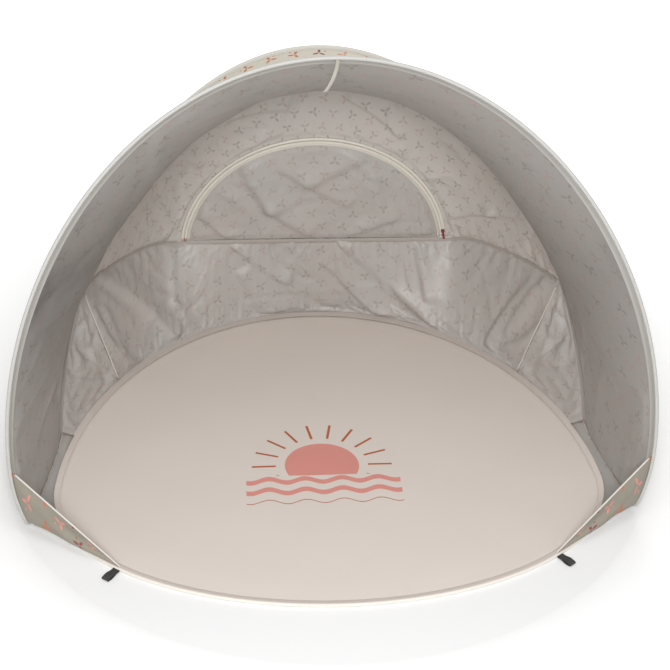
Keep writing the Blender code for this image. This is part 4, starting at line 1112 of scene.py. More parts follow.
def tape_finish():
    """Seam tape in the lining's grey, with one row of stitches along its middle."""
    material, shader, place = new_finish("seam_tape", roughness=0.6)
    aside = abs(place.part("Y") / THREAD_WIDTH)
    dash = (place.part("X") % STITCH_PITCH) < STITCH_PITCH * STITCH_SHARE
    thread = (1 - aside).clamped() * dash
    tape, dark = darker(LINING_GREY, TAPE_SHADE), darker(LINING_GREY, TAPE_THREAD_SHADE)
    place.feed(shader.inputs["Base Color"], thread.between(tape, dark))
    return material


SEAM_TAPE = tape_finish()
seam = LOWER[0]
run = run_of(seam, seam[0] * 2 - seam[1], seam[-1] * 2 - seam[-2])
down = square_to(LOWER[1] - seam, run)
left, right = UPPER_FINE[1][::-1] - UPPER_FINE[0][::-1], UPPER_FINE[-2] - UPPER_FINE[-1]
left_x, right_x = UPPER_FINE[0][::-1, 0], UPPER_FINE[-1][:, 0]
up = read_at(seam[:, 0], np.concatenate([left_x, right_x]),
             np.concatenate([unit(left), unit(right)]))
middle_part = (seam[:, 0] > left_x[-1]) & (seam[:, 0] < right_x[0])
up[middle_part] = PLANE_UP
up = square_to(up, run)
over, under = unit(np.cross(run, up)), unit(np.cross(down, run))
swing = seam[:, 0] / TAPE_PITCH
wave = np.sin(swing * math.pi) * np.sin(swing * TAPE_SECOND_WAVE + 1)
lift = TAPE_LIFT + TAPE_PUCKER * (1 + wave)[:, None] / 2
rise = np.where(middle_part, SEAM_TAPE_COVER, SEAM_TAPE_UP)[:, None]
rows = np.stack([seam + up * rise + over * lift, seam + mitre(over, under) * lift,
                 seam + down * SEAM_TAPE_DOWN / 2 + under * lift,
                 seam + down * SEAM_TAPE_DOWN + under * lift], 1)
rows = rows[TAPE_END_STEPS:-TAPE_END_STEPS]
seam_tape = surface("back_seam_tape_sewn", rows, [SEAM_TAPE], TAPE_THICKNESS)
fitted(seam_tape, "tent", "binding", "back_seam_tape")

# Corner gussets. A tapering panel each side closes the space between the lower back
# wall and the rear leg, and a corded piping stiffens the corner seam between them.
GUSSET_FOOT_Y = 0.245
GUSSET_HALF_ROWS = 4
GUSSET_TOP_STEP = 0.06
GUSSET_TOP_SHARE = 0.985
GUSSET_FIRST_STATION = 1
GUSSET_COLUMNS = 4
GUSSET_FINE_COLUMNS = 28
GUSSET_FINE_ROWS = 72
PIPING_RADIUS = 0.0020
PIPING_TOP_END = 0.026
PIPING_FOOT_END = 0.012
PIPING_STAND_OFF_SHARE = 1.1
PIPING_STEPS = 48
PIPING_SIDES = 10
PIPING_SIGHT_COLUMNS = 20
GUSSET_FOLDS = (41, 16, 0.2, 0.5, 0.10, 0.014, 0.0065)
GUSSET_GATHERS = (42, 0.028, 0.0030, 0.050)
GUSSET_QUIET_EDGE = 0.028


def edge_point(edge, place):
    """A point along a polyline, by its point number and the fraction beyond it."""
    k = min(int(place), len(edge) - 2)
    return edge[k] + (edge[k + 1] - edge[k]) * (place - k)


def gusset(right, edge):
    """Rows from the rear leg to the floor rim, then to the lower wall's side edge."""
    leg_line = REAR[::-1] if right else REAR
    leg_run = REAR_RUN[::-1] if right else REAR_RUN
    a, b = rim_angle(GUSSET_FOOT_Y, right), rim_angle(PIPING_FOOT_Y, right)
    top = SEAM_STATION - GUSSET_TOP_STEP
    rows = []
    for n in range(2 * GUSSET_HALF_ROWS + 1):
        share = n / GUSSET_HALF_ROWS
        station = GUSSET_FIRST_STATION + (top - GUSSET_FIRST_STATION) * share / 2
        leg = edge_point(leg_line, station)
        if share <= 1.0:
            far = floor_rim(a + (b - a) * share, 0, RIM_SEAT)
        else:
            far = edge[-1] + (edge[0] - edge[-1]) * (share - 1) * GUSSET_TOP_SHARE
        start = leg + square_to(far - leg, leg_run[round(station)]) * NOSE_EDGE
        rows.append([start + (far - start) * k / GUSSET_COLUMNS
                     for k in range(GUSSET_COLUMNS + 1)])
    return np.array(rows)


def round_cord(name, line, radius, finish):
    """A round sewn-in cord along a line, closed at both ends."""
    run = run_of(line, line[0] * 2 - line[1], line[-1] * 2 - line[-2])
    aside = square_to(np.broadcast_to([0, 0, 1], line.shape), run)
    over = np.cross(run, aside)
    turns = np.linspace(0, 2 * math.pi, PIPING_SIDES, endpoint=False)
    rows = np.stack([line + aside * radius * math.cos(t) + over * radius * math.sin(t)
                     for t in turns], 1)
    ids = np.arange(rows.shape[0] * PIPING_SIDES).reshape(-1, PIPING_SIDES)
    faces = corners(np.concatenate([ids, ids[:, :1]], 1)).reshape(-1, 4)
    polygons = faces.tolist() + [ids[0].tolist(), ids[-1][::-1].tolist()]
    round_length = np.arange(PIPING_SIDES + 1) * 2 * math.pi * radius / PIPING_SIDES
    place = np.stack(np.meshgrid(distances(line), round_length, indexing="ij"), -1)
    ends = np.stack([np.cos(turns), np.sin(turns)], -1) * radius
    marks = np.concatenate([corners(place).reshape(-1, 2), ends, ends[::-1]])
    return new_piece(name, rows, polygons, marks, [finish])


cornerings = []
for side, column, right in (("left", 0, False), ("right", -1, True)):
    edge = LOWER[:, column]
    coarse = gusset(right, edge)
    share = np.arange(len(coarse))
    rows = fair(coarse, share, np.linspace(0, share[-1], GUSSET_FINE_ROWS))
    rows = fair_across(rows, np.arange(GUSSET_COLUMNS + 1),
                       np.linspace(0, GUSSET_COLUMNS, GUSSET_FINE_COLUMNS))
    u, v = flat_map(rows)
    swell = folds(u, v, *GUSSET_FOLDS) + puckers(v.max() - v, u, *GUSSET_GATHERS)
    tucked = edge_fade(u, v, ALL_SIDES, GUSSET_QUIET_EDGE)
    rows = settled(raised(rows, swell * tucked), tucked <= 0)
    piece = surface("corner_gusset_" + side, rows, [CANVAS_OUT, CANVAS_IN], CLOTH_THICKNESS,
                    CABIN_HEART)
    cornerings.append(fitted(piece, "tent", "printed_canvas", "back_gusset_" + side))
    middle_row = LOWER[LOWER_FINE_ROWS // 2]
    beside = PIPING_SIGHT_COLUMNS if column == 0 else -1 - PIPING_SIGHT_COLUMNS
    across = middle_row[beside] - middle_row[column]
    along = unit(edge[-1] - edge[0])
    off = square_to(unit(across) + [0, -1, 0], along)
    lift = off * (CLOTH_THICKNESS / 2 + SEAT_GAP + PIPING_RADIUS) * PIPING_STAND_OFF_SHARE
    a, b = edge[0] + along * PIPING_TOP_END + lift, edge[-1] - along * PIPING_FOOT_END + lift
    line = a + (b - a) * np.linspace(0, 1, PIPING_STEPS + 1)[:, None]
    piece = round_cord("corner_cord_" + side, line, PIPING_RADIUS, BINDING)
    cornerings.append(fitted(piece, "tent", "binding", "corner_piping_" + side))
[seam_tape] + cornerings

# Window flap. A half-round panel of the same cloth closes the window from inside. It is
# zipped in round the arch and sewn along the seam, and hangs a little slack between.
FLAP_EDGE = 0.008
FLAP_BOTTOM = 0.0085
FLAP_RINGS = 44
FLAP_STEPS = 132
FLAP_SLACK = 0.004
FLAP_QUIET_EDGE = 0.016
FLAP_TRIM_STEPS = 2
FLAP_FOLDS = ((51, 9, -0.6, 0.45, 0.16, 0.022, 0.0050),
              (52, 30, 0.5, 0.6, 0.07, 0.011, 0.0024))
FLAP_CREASES = (
    ((0.17, 0.30), (0.26, 0.12), 0.017, 0.0143),
    ((0.26, 0.12), (0.38, 0.03), 0.015, 0.0117),
    ((0.04, 0.10), (0.13, 0.01), 0.011, 0.0091),
    ((0.38, 0.21), (0.58, 0.33), 0.014, 0.0091),
    ((0.74, 0.21), (0.76, 0.03), 0.010, 0.0091),
    ((0.52, 0.02), (0.66, 0.08), 0.010, 0.0078),
    ((0.30, 0.27), (0.50, 0.14), 0.014, 0.0078),
)


def half_round(radius, bottom, lift, rings, steps):
    """Rows of a flat panel under the arch, from its edge down to its straight lower side."""
    spread = end_angle(radius, bottom)
    rim = in_window(radius, np.linspace(-spread, spread, steps + 1), lift)
    low = WINDOW_CENTRE + PLANE_UP * (WINDOW_CENTRE_DROP + bottom) + PLANE_IN * lift
    base = low + (rim[:, :1] - WINDOW_CENTRE[0]) * np.array([1, 0, 0])
    share = np.linspace(0, 1, rings + 1)[None, :, None]
    return rim[:, None] * (1 - share) + base[:, None] * share


rows = half_round(WINDOW_RADIUS - FLAP_EDGE, FLAP_BOTTOM, 0.0, FLAP_RINGS, FLAP_STEPS)
rows = rows[FLAP_TRIM_STEPS:-FLAP_TRIM_STEPS]
away = rows - WINDOW_CENTRE
aside, height = away[..., 0], away @ PLANE_UP
inset = np.minimum(WINDOW_RADIUS - FLAP_EDGE - np.hypot(aside, height),
                   height - WINDOW_CENTRE_DROP - FLAP_BOTTOM)
quiet = np.clip((inset - FLAP_QUIET_EDGE / 3) / FLAP_QUIET_EDGE, 0, 1)
u, v = aside - aside.min(), height - height.min()
swell = sum(folds(u, v, *kind) for kind in FLAP_FOLDS)
swell += creases(u, v, FLAP_CREASES)
swell = FLAP_SLACK + swell
swell = (swell + np.sqrt(swell ** 2 + FLAP_SLACK ** 2 / 4)) / 2 * quiet
rows = rows + PLANE_IN * swell[..., None]
flap = surface("window_flap_cloth", rows, [CANVAS_OUT, CANVAS_IN], CLOTH_THICKNESS, CABIN_HEART)
fitted(flap, "window_flap_body", "printed_canvas", "window_flap")

# Window net. A half-round of fine insect net sewn to the outside of the opening, which
# lets air in when the flap is down.
NET_OVERLAP = 0.004
NET_THICKNESS = 0.0006
NET_PITCH = 0.0016
NET_HOLE_SHARE = 0.66
NET_RINGS = 16
NET_STEPS = 96
NET_WHITE = (0.60, 0.59, 0.55, 1)


def net_finish():
    """Knitted polyester net: threads with open square holes between them."""
    material, shader, place = new_finish("fine_net", roughness=0.7)
    shader.inputs["Base Color"].default_value = NET_WHITE
    hole = ((place.part("X") / NET_PITCH) % 1) < NET_HOLE_SHARE
    hole = hole * (((place.part("Y") / NET_PITCH) % 1) < NET_HOLE_SHARE)
    place.feed(shader.inputs["Alpha"], 1 - hole)
    return material


NET = net_finish()
net_lift = -(CLOTH_THICKNESS / 2 + SEAM_GAP + NET_THICKNESS / 2)
rows = half_round(WINDOW_RADIUS + WINDOW_WALL_EDGE + NET_OVERLAP, SEAM_TAPE_UP, net_lift,
                  NET_RINGS, NET_STEPS)
net = surface("window_net_sewn", rows[1:-1], [NET], NET_THICKNESS)
fitted(net, "tent", "insect_net", "window_net")

# Zip tapes. Two woven tapes with rounded edges are sewn to the wall and the flap round
# the window's arch, and carry the tooth rows.
TAPE_INNER = 0.0010
TAPE_OUTER = 0.0145
ROLL_INNER = 0.0052
ROLL_HEIGHT = 0.0030
ZIP_END_HEIGHT = 0.012
ZIP_STEPS = 140
ROLL_STEPS = 7
TAPE_CREAM = (0.720, 0.690, 0.620, 1)
TAPE_TAN = (0.560, 0.490, 0.390, 1)
FLAP_TAPE_SHADE = 0.84
TAPE_THREAD = 0.0008
TAPE_RELIEF = 0.0001
TAN_EDGE_POWER = 4.0


def zip_tape_finish(name, cloth):
    """Woven tape, a little darker toward its far edges."""
    material, shader, place = new_finish(name, roughness=0.5)
    aside = (abs(place.part("Y")) / TAPE_OUTER * 2).clamped()
    colour = (aside ** TAN_EDGE_POWER).between(cloth, TAPE_TAN)
    place.feed(shader.inputs["Base Color"], colour)
    woven(place, shader, TAPE_THREAD, TAPE_RELIEF)
    return material


WALL_TAPE = zip_tape_finish("zip_tape_cream", TAPE_CREAM)
FLAP_TAPE = zip_tape_finish("zip_tape_tan", darker(TAPE_CREAM, FLAP_TAPE_SHADE))
for name, way, shortest, body, finish in (
        ("wall", 1, TAPE_INNER, "tent", WALL_TAPE),
        ("flap", -1, -TAPE_OUTER, "window_flap_body", FLAP_TAPE)):
    spread = end_angle(WINDOW_RADIUS + shortest, ZIP_END_HEIGHT)
    angle = np.linspace(-spread, spread, ZIP_STEPS + 1)
    radii = [WINDOW_RADIUS + way * TAPE_INNER, WINDOW_RADIUS + way * ROLL_INNER]
    lifts = [TAPE_LIFT, TAPE_LIFT]
    for k in range(1, ROLL_STEPS + 1):
        share = k / ROLL_STEPS
        radii.append(WINDOW_RADIUS + way * (ROLL_INNER + (TAPE_OUTER - ROLL_INNER) * share))
        lifts.append(TAPE_LIFT + ROLL_HEIGHT * math.sqrt(max(0, 1 - (2 * share - 1) ** 2)))
    rows = in_window(np.array(radii)[None], angle[:, None], np.array(lifts)[None])
    tape = surface("zip_tape_sewn_" + name, rows, [finish], TAPE_THICKNESS)
    fitted(tape, body, "binding", "zip_tape_" + name)
    name == "flap"

# Zip teeth, slider and pull. The rows are moulded cream plastic on the tapes' edges. The
# slider, its pull and the stops are cast metal with dark red paint.
TOOTH_PITCH = 0.0015
TOOTH_SHARE = 0.55
TEETH_CREAM = (0.800, 0.770, 0.690, 1)
TOOTH_GAP_PAINTED_SHADE = 0.86
SLIDER_RED = (0.175, 0.012, 0.016, 1)


def teeth_finish():
    """Moulded plastic teeth round the window's arch, ribbed square to the row by painted shade in
    the gaps.
    """
    material, shader, place = new_finish("zip_teeth", roughness=0.42)
    solid = place.solid()
    rise = (solid.part("Z") - WINDOW_CENTRE[2]) / PLANE_UP[2]
    bearing = solid.part("X").angle_to(rise) * (WINDOW_RADIUS / TOOTH_PITCH)
    # Painted shade in the gaps between teeth.
    tooth = (bearing % 1) < TOOTH_SHARE
    colour = tooth.between(darker(TEETH_CREAM, TOOTH_GAP_PAINTED_SHADE), TEETH_CREAM)
    place.feed(shader.inputs["Base Color"], colour)
    return material


TEETH = teeth_finish()
RED_METAL, shader, _ = new_finish("red_painted_metal", roughness=0.32)
shader.inputs["Base Color"].default_value = SLIDER_RED
shader.inputs["Coat Weight"].default_value = 0.5
for node, finish in (("zip_row_wall", TEETH), ("zip_row_flap", TEETH), ("zip_slider", RED_METAL),
                     ("zip_pull", RED_METAL), ("zip_stop_left", RED_METAL),
                     ("zip_stop_right", RED_METAL)):
    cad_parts[node].material_slots[0].material = finish

# Zip end tab. A scrap of striped tape, folded over, is sewn across the zip's left end as
# a stop for the slider.
TAB_LENGTH = 0.014
TAB_HALF_WIDTH = 0.0068
TAB_THICKNESS = 0.0012
TAB_STEPS = 10
TAB_COLUMNS = 8
TAB_HEIGHT = ZIP_END_HEIGHT + 0.002
TAB_UP_SHARE = 0.42
TAB_LIFT = TAPE_LIFT * 1.6
TAB_RISE = TAPE_THICKNESS / 2 + 0.0026
TAB_ARCH_START = 0.08
TAB_ARCH_SHARE = 0.9
STRIPE_PITCH = 0.0058
WHITE_FROM = 0.36
RED_FROM = 0.70
TAB_WHITE = (0.72, 0.68, 0.62, 1)
TAB_BLACK = (0.022, 0.020, 0.020, 1)
TAB_RED = (0.300, 0.030, 0.030, 1)


def striped_finish():
    """Woven tape with stripes of black, white and red across the tab."""
    material, shader, place = new_finish("striped_tab", roughness=0.7)
    share = (place.part("Y") / STRIPE_PITCH + 0.5) % 1
    colour = (share > WHITE_FROM).between(TAB_BLACK, TAB_WHITE)
    colour = (share > RED_FROM).between(colour, TAB_RED)
    place.feed(shader.inputs["Base Color"], colour)
    return material


middle = in_window(WINDOW_RADIUS, -end_angle(WINDOW_RADIUS, TAB_HEIGHT))
down = unit(np.cross(PLANE_IN, middle - WINDOW_CENTRE))
aside = unit(np.cross(down, PLANE_IN))
rows = []
for k in range(TAB_STEPS + 1):
    share = k / TAB_STEPS
    arch = math.sin(math.pi * min(1, share * TAB_ARCH_SHARE + TAB_ARCH_START))
    lift = TAB_LIFT + TAB_RISE * arch
    place = middle + down * (TAB_LENGTH * (share - TAB_UP_SHARE)) + PLANE_IN * lift
    rows.append([place + aside * TAB_HALF_WIDTH * s for s in np.linspace(-1, 1, TAB_COLUMNS + 1)])
tab = surface("zip_end_tab_left", rows, [striped_finish()], TAB_THICKNESS)
fitted(tab, "tent", "pull_red", "zip_stop_left")

# Front corner panels. A small printed panel each side runs from the front leg down to
# the rim of the floor hoop, its top edge turned into a cream corded binding.
FLAP_TIP_Y = -0.315
PANEL_STATIONS = (0.5, 1.0, 2.0, 2.9)
PANEL_COLUMNS = 6
PANEL_TIP_WIDTH = 0.012
PANEL_FINE_ROWS = 30
PANEL_FINE_COLUMNS = 48
EDGE_CORD_RADIUS = 0.0022
EDGE_CORD_END = 0.010
RIM_CHORDS = 72
PANEL_FOLDS = (61, 7, 1.4, 0.3, 0.14, 0.018, 0.0035)
PANEL_QUIET_EDGE = 0.020
# The corner panels' cloth is a darker copy of the outside cloth: painted shade.
CORNER_SHADED_CREAM = (0.290, 0.264, 0.214, 1)
CORNER_SHADE = 0.92


def rim_chord(angle):
    """The middle of the floor hoop's straight step at an angle, and the way out from it."""
    k = int(angle % (2 * math.pi) / (2 * math.pi) * RIM_CHORDS)
    a, b = floor_rim(np.array([k, k + 1]) * 2 * math.pi / RIM_CHORDS, 0, WIRE_HEIGHT)
    return (a + b) / 2, np.cross(unit(b - a), [0, 0, 1])


# The corner panels' outside is drawn in painted shade, darker than the same cloth elsewhere.
CORNER_SHADED_CANVAS = canvas_finish("corner_canvas_painted_shade", CORNER_SHADED_CREAM,
                              darker(CORNER_SHADED_CREAM, CORNER_SHADE), PRINT_INKS,
                              share=CLOTH_INK_SHARE, roughness=0.66, crumple=0.3)
for side, right in (("left", False), ("right", True)):
    leg_line = FRONT[::-1] if right else FRONT
    middle, out = rim_chord(rim_angle(FLAP_TIP_Y, right))
    tip = np.array([middle[0], middle[1], RIM_SEAT + CLOTH_THICKNESS / 2])
    along = np.cross(out, [0, 0, 1]) * (1 if right else -1)
    coarse = []
    for n, station in enumerate(PANEL_STATIONS):
        leg = edge_point(leg_line, station)
        segment = unit(leg_line[int(station) + 1] - leg_line[int(station)])
        far = tip + along * PANEL_TIP_WIDTH * (n / (len(PANEL_STATIONS) - 1) - 1 / 2)
        start = leg + square_to(far - leg, segment) * NOSE_EDGE
        coarse.append([start + (far - start) * k / PANEL_COLUMNS
                       for k in range(PANEL_COLUMNS + 1)])
    coarse = np.array(coarse)
    rows = fair(coarse, PANEL_STATIONS,
                np.linspace(PANEL_STATIONS[0], PANEL_STATIONS[-1], PANEL_FINE_ROWS))
    rows = fair_across(rows, np.arange(PANEL_COLUMNS + 1),
                       np.linspace(0, PANEL_COLUMNS, PANEL_FINE_COLUMNS))
    u, v = flat_map(rows)
    swell = folds(u, v, *PANEL_FOLDS)
    rows = raised(rows, swell * edge_fade(u, v, ALL_SIDES, PANEL_QUIET_EDGE))
    piece = surface("corner_panel_" + side, rows, [CORNER_SHADED_CANVAS, CANVAS_IN], CLOTH_THICKNESS,
                    CABIN_HEART)
    fitted(piece, "tent", "printed_canvas", "front_flap_" + side)
    top, under = coarse[-1], coarse[-2]
    run = unit(top[-1] - top[0])
    lift = -square_to(under[0] - top[0], run) * (EDGE_CORD_RADIUS + SEAT_GAP)
    a, b = top[0] + run * EDGE_CORD_END + lift, top[-1] + lift
    line = a + (b - a) * np.linspace(0, 1, PIPING_STEPS + 1)[:, None]
    cord = round_cord("corner_panel_cord_" + side, line, EDGE_CORD_RADIUS, BINDING)
    fitted(cord, "tent", "binding", "flap_edge_binding_" + side)

# Peg loops. A short strip of black webbing is folded in half and sewn under the floor
# binding at four places, to take a sand peg.
REAR_LOOP_HALF_SPACING = 0.440
LOOP_LENGTH = 0.046
LOOP_HEIGHT = 0.0100
LOOP_WIDTH = 0.020
LOOP_STRAP = 0.0014
LOOP_SEWN_HALF = 0.0010
LOOP_SEWN_LENGTH = 0.010
LOOP_BELLY = 0.030
LOOP_CURVE_STEPS = 14
LOOP_ACROSS = 8
NOSE_FACE_TURN = math.pi / 5
NOSE_FACE = NOSE_RADIUS * math.cos(NOSE_FACE_TURN) + BINDING_THICKNESS / 2
WEBBING_RIB = 0.0011
WEBBING_RELIEF = 0.0003
WEBBING_WEAR_SIZE = 0.006
WEBBING_BLACK = (0.020, 0.019, 0.019, 1)
WEBBING_WORN = (0.055, 0.052, 0.050, 1)


def webbing_finish():
    """Black polypropylene webbing: ribs along it, crossed by a fine weft."""
    material, shader, place = new_finish("peg_webbing", roughness=0.62)
    woven(place, shader, WEBBING_RIB, WEBBING_RELIEF)
    worn = place.noise(WEBBING_WEAR_SIZE)
    place.feed(shader.inputs["Base Color"], worn.between(WEBBING_BLACK, WEBBING_WORN))
    return material


WEBBING = webbing_finish()


def webbing_line():
    """The strap's middle line: out along the top, round the end and back underneath."""
    half_height = (LOOP_HEIGHT - LOOP_STRAP) / 2
    start = [(0.0, LOOP_SEWN_HALF / 2)]
    for k in range(LOOP_CURVE_STEPS):
        t = k / LOOP_CURVE_STEPS
        start.append((LOOP_SEWN_LENGTH + (LOOP_BELLY - LOOP_SEWN_LENGTH) * t,
                      LOOP_STRAP / 2 + (half_height - LOOP_STRAP / 2) * t * t * (3 - 2 * t)))
    for k in range(LOOP_CURVE_STEPS + 1):
        turn = math.pi / 2 * k / LOOP_CURVE_STEPS
        start.append((LOOP_BELLY + (LOOP_LENGTH - LOOP_STRAP / 2 - LOOP_BELLY) * math.sin(turn),
                      half_height * math.cos(turn)))
    return start + [(x, -y) for x, y in start[-2::-1]]


REAR_LOOP_ANGLE = math.acos(REAR_LOOP_HALF_SPACING / FLOOR_HALF_WIDTH)
for name, angle in (("front_left", rim_angle(FLAP_TIP_Y, False)),
                    ("front_right", rim_angle(FLAP_TIP_Y, True)),
                    ("rear_left", math.pi - REAR_LOOP_ANGLE), ("rear_right", REAR_LOOP_ANGLE)):
    middle, out = rim_chord(angle)
    origin = middle + out * (NOSE_FACE + SEAT_GAP)
    origin[2] = LOOP_HEIGHT / 2
    aside = np.cross(out, [0, 0, 1])
    offsets = np.linspace(-LOOP_WIDTH / 2, LOOP_WIDTH / 2, LOOP_ACROSS + 1)
    rows = [[origin + out * x + np.array([0, 0, y]) + aside * s for s in offsets]
            for x, y in webbing_line()]
    loop = surface("webbing_" + name, rows, [WEBBING], LOOP_STRAP)
    fitted(loop, "peg_loop_" + name + "_body", "black_webbing", "peg_loop_" + name)

# Side skirts. A narrow strip of the lining cloth each side closes the gap between the
# canopy hoop's ground run and the floor binding, from the front corner to the gusset.
SKIRT_CORNER = 0.0074
SKIRT_HEIGHT = 0.015
SKIRT_OVERHANG = 0.004
SKIRT_RUN_STEPS = 30
SKIRT_FRONT_STEPS = 16
SKIRT_REAR_STEPS = 8
SKIRT_END_SHARE = 0.03
SKIRT_REAR_SHARE = 0.97
SKIRT_LEG_CLEARANCE = NOSE_EDGE * 1.3


def skirt_row(top, corner, angle):
    """One row of the skirt: down to its corner, then over to the floor rim at an angle."""
    rim = floor_rim(angle, SKIRT_OVERHANG, RIM_SEAT + CLOTH_THICKNESS / 2)
    return [top, corner, (corner + rim) / 2, rim]


def skirt_beside(place, up, along, turn):
    """A row that starts on the cabin side of the ground run's binding."""
    over = square_to(square_to(np.array([-turn, 0, 0.0]), along), up)
    off = over * (TAIL_SPREAD + BINDING_THICKNESS / 2 + SEAT_GAP + CLOTH_THICKNESS / 2)
    corner = place + up * SKIRT_CORNER + off
    angle = rim_angle(corner[1] - WIDEST_Y, turn > 0)
    return skirt_row(place + up * SKIRT_HEIGHT + off, corner, angle)


for side, turn in (("left", -1), ("right", 1)):
    run, row = RUNS[side], BAND[0 if side == "left" else -1]
    first, last = row[0] - run[0], row[-1] - run[-1]
    rows = []
    for share in np.linspace(SKIRT_END_SHARE, 1 - SKIRT_END_SHARE, SKIRT_RUN_STEPS):
        place = edge_point(run, share * RUN_STATIONS)
        k = min(int(share * RUN_STATIONS), RUN_STATIONS - 1)
        along = unit(run[k + 1] - run[k])
        up = square_to(first + (last - first) * share, along)
        rows.append(skirt_beside(place, up, along, turn))
    start, end = rows[0], rows[-1]
    tip_angle, foot_angle = (rim_angle(y, turn > 0) for y in (FLAP_TIP_Y, start[1][1] - WIDEST_Y))
    tip = floor_rim(tip_angle, 0, RIM_SEAT + CLOTH_THICKNESS * 2)
    front = []
    for share in np.linspace(SKIRT_END_SHARE * 2, 1, SKIRT_FRONT_STEPS)[:-1]:
        angle = tip_angle + (foot_angle - tip_angle) * share
        front.append(skirt_row(tip + (start[0] - tip) * share, tip + (start[1] - tip) * share,
                               angle))
    leg = REAR[1 if side == "left" else -2] + np.array([-turn * SKIRT_LEG_CLEARANCE, 0, 0])
    leg_top = leg + [0, 0, SKIRT_CORNER]
    rear_y = end[1][1] - WIDEST_Y
    rear = []
    for share in np.linspace(0, 1, SKIRT_REAR_STEPS)[1:]:
        y = rear_y + (GUSSET_FOOT_Y - rear_y) * share * SKIRT_REAR_SHARE
        rear.append(skirt_row(end[0] + (leg_top - end[0]) * share,
                              end[1] + (leg - end[1]) * share, rim_angle(y, turn > 0)))
    skirt = surface("side_skirt_" + side, front + rows + rear, [CANVAS_OUT, ROOF_IN_SHADED],
                    CLOTH_THICKNESS, CABIN_HEART)
    fitted(skirt, "tent", "binding", "foot_patch_" + side)

# Tie ribbon. A short straight-cut ribbon hangs from the top of the front arch, to tie
# the folded tent together.
RIBBON_LENGTH = 0.078
RIBBON_WIDTH = 0.010
RIBBON_THICKNESS = 0.0008
RIBBON_SWING = 0.030
RIBBON_STEPS = 24
RIBBON_CURL = 0.0025
RIBBON_WAVE = 5
RIBBON_ACROSS = (-0.5, -0.2, 0.2, 0.5)
RIBBON_THREAD = 0.0009
RIBBON_RELIEF = 0.0001
RIBBON_ECRU = (0.400, 0.375, 0.325, 1)
RIBBON, shader, place = new_finish("ribbon_ecru", roughness=0.6)
shader.inputs["Base Color"].default_value = RIBBON_ECRU
woven(place, shader, RIBBON_THREAD, RIBBON_RELIEF)
top = FRONT[STATIONS // 2] - [0, 0, NOSE_RADIUS + BINDING_THICKNESS / 2 + SEAT_GAP]
rows = []
for k in range(RIBBON_STEPS + 1):
    t = k / RIBBON_STEPS
    curl = RIBBON_CURL * math.sin(t * RIBBON_WAVE)
    place = top + [-RIBBON_SWING * t * t, curl, -RIBBON_LENGTH * t]
    rows.append([place + [RIBBON_WIDTH * s, RIBBON_CURL * s * t, 0] for s in RIBBON_ACROSS])
ribbon = surface("ribbon_tie", rows, [RIBBON], RIBBON_THICKNESS)
fitted(ribbon, "tent", "binding", "tie_ribbon")

# Spring wires. Two rings of bright drawn steel wire, hidden in the bindings. A crimped
# steel tube joins the ends of each.
STEEL_GREY = (0.42, 0.42, 0.43, 1)
STEEL, shader, _ = new_finish("drawn_spring_steel", roughness=0.3, metallic=1.0)
shader.inputs["Base Color"].default_value = STEEL_GREY
for node in ("floor_hoop_wire", "floor_hoop_ferrule", "canopy_hoop_wire", "canopy_hoop_ferrule"):
    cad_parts[node].material_slots[0].material = STEEL

# Studio. A sheet of white paper that keeps the tent's soft shadow and shows as pure white
# further out, soft lights in front, above and behind, and the photograph's own camera.
FLOOR_SIZE = 14.0
STUDIO_STEPS = 2
CAMERA_PLACE = (-0.2255639, -2.9045268, 2.046429)
CAMERA_YAW = 0.08375
CAMERA_PITCH = 0.53096
CAMERA_ROLL = 0.02371
CAMERA_LENS = 65.879
AMBIENT = 0.36
PAPER_GLOW = 0.72
GLOW_START = 0.90
GLOW_REACH = 2.6
PAPER_WHITE = (0.88, 0.88, 0.88, 1)
SOFT_LIGHTS = (("front_softbox", (-0.3, -3.6, 2.60), (0, 0.3, 0.3), 1.2, 124),
               ("top_softbox", (0.0, -1.8, 4.4), (0, 0.1, 0.1), 2.4, 42),
               ("rear_softbox", (1.4, 3.6, 2.8), (0, 0.2, 0.4), 2.0, 30))


def studio_floor():
    """White paper with a glow for the camera alone, which starts clear of the tent."""
    material, shader, place = new_finish("studio_paper", roughness=0.95)
    shader.inputs["Base Color"].default_value = PAPER_WHITE
    shader.inputs["Emission Strength"].default_value = 1
    seen = place.node("ShaderNodeLightPath", None, None, "Is Camera Ray")
    solid = place.solid()
    x, y = solid.part("X"), solid.part("Y")
    away = (x * x + y * y).root() - GLOW_START
    share = (away / GLOW_REACH).clamped().root() * seen
    glow = (PAPER_GLOW, PAPER_GLOW, PAPER_GLOW, 1)
    place.feed(shader.inputs["Emission Color"], share.between((0, 0, 0, 1), glow))
    return material


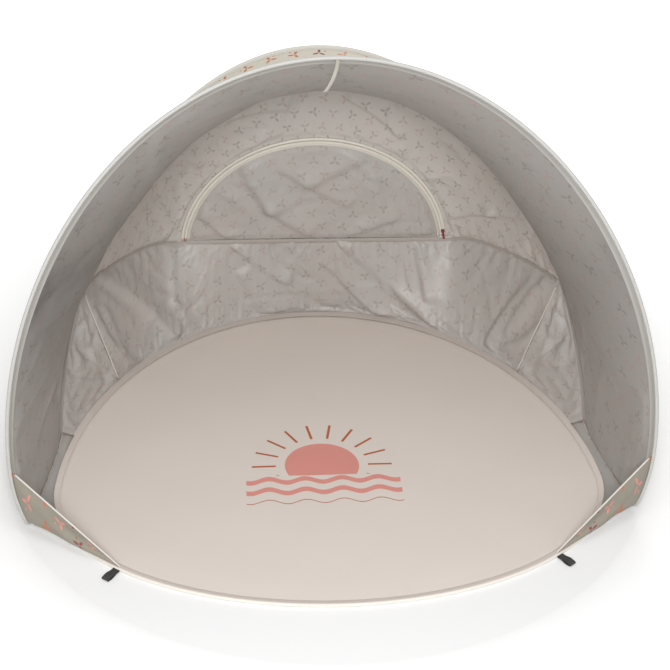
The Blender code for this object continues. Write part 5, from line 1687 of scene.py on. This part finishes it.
line = np.linspace(-FLOOR_SIZE / 2, FLOOR_SIZE / 2, STUDIO_STEPS + 1)
rows = np.stack(np.meshgrid(line, line, [0.0], indexing="ij"), -1)[:, :, 0]
surface("studio_floor", rows, [studio_floor()], 0)

world = bpy.data.worlds.new("studio")
bpy.context.scene.world = world
world.use_nodes = True
tree = world.node_tree
tone = Tone(tree)
seen = tone.node("ShaderNodeLightPath", None, None, "Is Camera Ray")
shine = seen.larger(tone.node("ShaderNodeLightPath", None, None, "Is Glossy Ray"))
shine = shine.larger(tone.node("ShaderNodeLightPath", None, None, "Is Transmission Ray"))
tone.feed(tree.nodes["Background"].inputs["Strength"], shine * (1 - AMBIENT) + AMBIENT)
tree.nodes["Background"].inputs["Color"].default_value = (1, 1, 1, 1)


def soft_light(name, place, target, size, power):
    """A square soft light: its place, what it faces, its width in metres and its watts."""
    lamp = bpy.data.lights.new(name, "AREA")
    lamp.size = size
    lamp.energy = power
    holder = bpy.data.objects.new(name, lamp)
    holder.location = place
    holder.rotation_euler = (Vector(target) - Vector(place)).to_track_quat("-Z", "Y").to_euler()
    bpy.context.scene.collection.objects.link(holder)
    return holder


for light in SOFT_LIGHTS:
    soft_light(*light)

forward = Vector((math.sin(CAMERA_YAW) * math.cos(CAMERA_PITCH),
                  math.cos(CAMERA_YAW) * math.cos(CAMERA_PITCH), -math.sin(CAMERA_PITCH)))
rightward = Vector((math.cos(CAMERA_YAW), -math.sin(CAMERA_YAW), 0))
upward = rightward.cross(forward)
turned_right = rightward * math.cos(CAMERA_ROLL) + upward * math.sin(CAMERA_ROLL)
turned_up = upward * math.cos(CAMERA_ROLL) - rightward * math.sin(CAMERA_ROLL)
lens = bpy.data.cameras.new("camera")
lens.lens = CAMERA_LENS
camera = bpy.data.objects.new("camera", lens)
axes = Matrix((turned_right, turned_up, -forward)).transposed().to_4x4()
camera.matrix_world = Matrix.Translation(CAMERA_PLACE) @ axes
bpy.context.scene.collection.objects.link(camera)
bpy.context.scene.camera = camera
bpy.context.scene.view_settings.view_transform = "Standard"
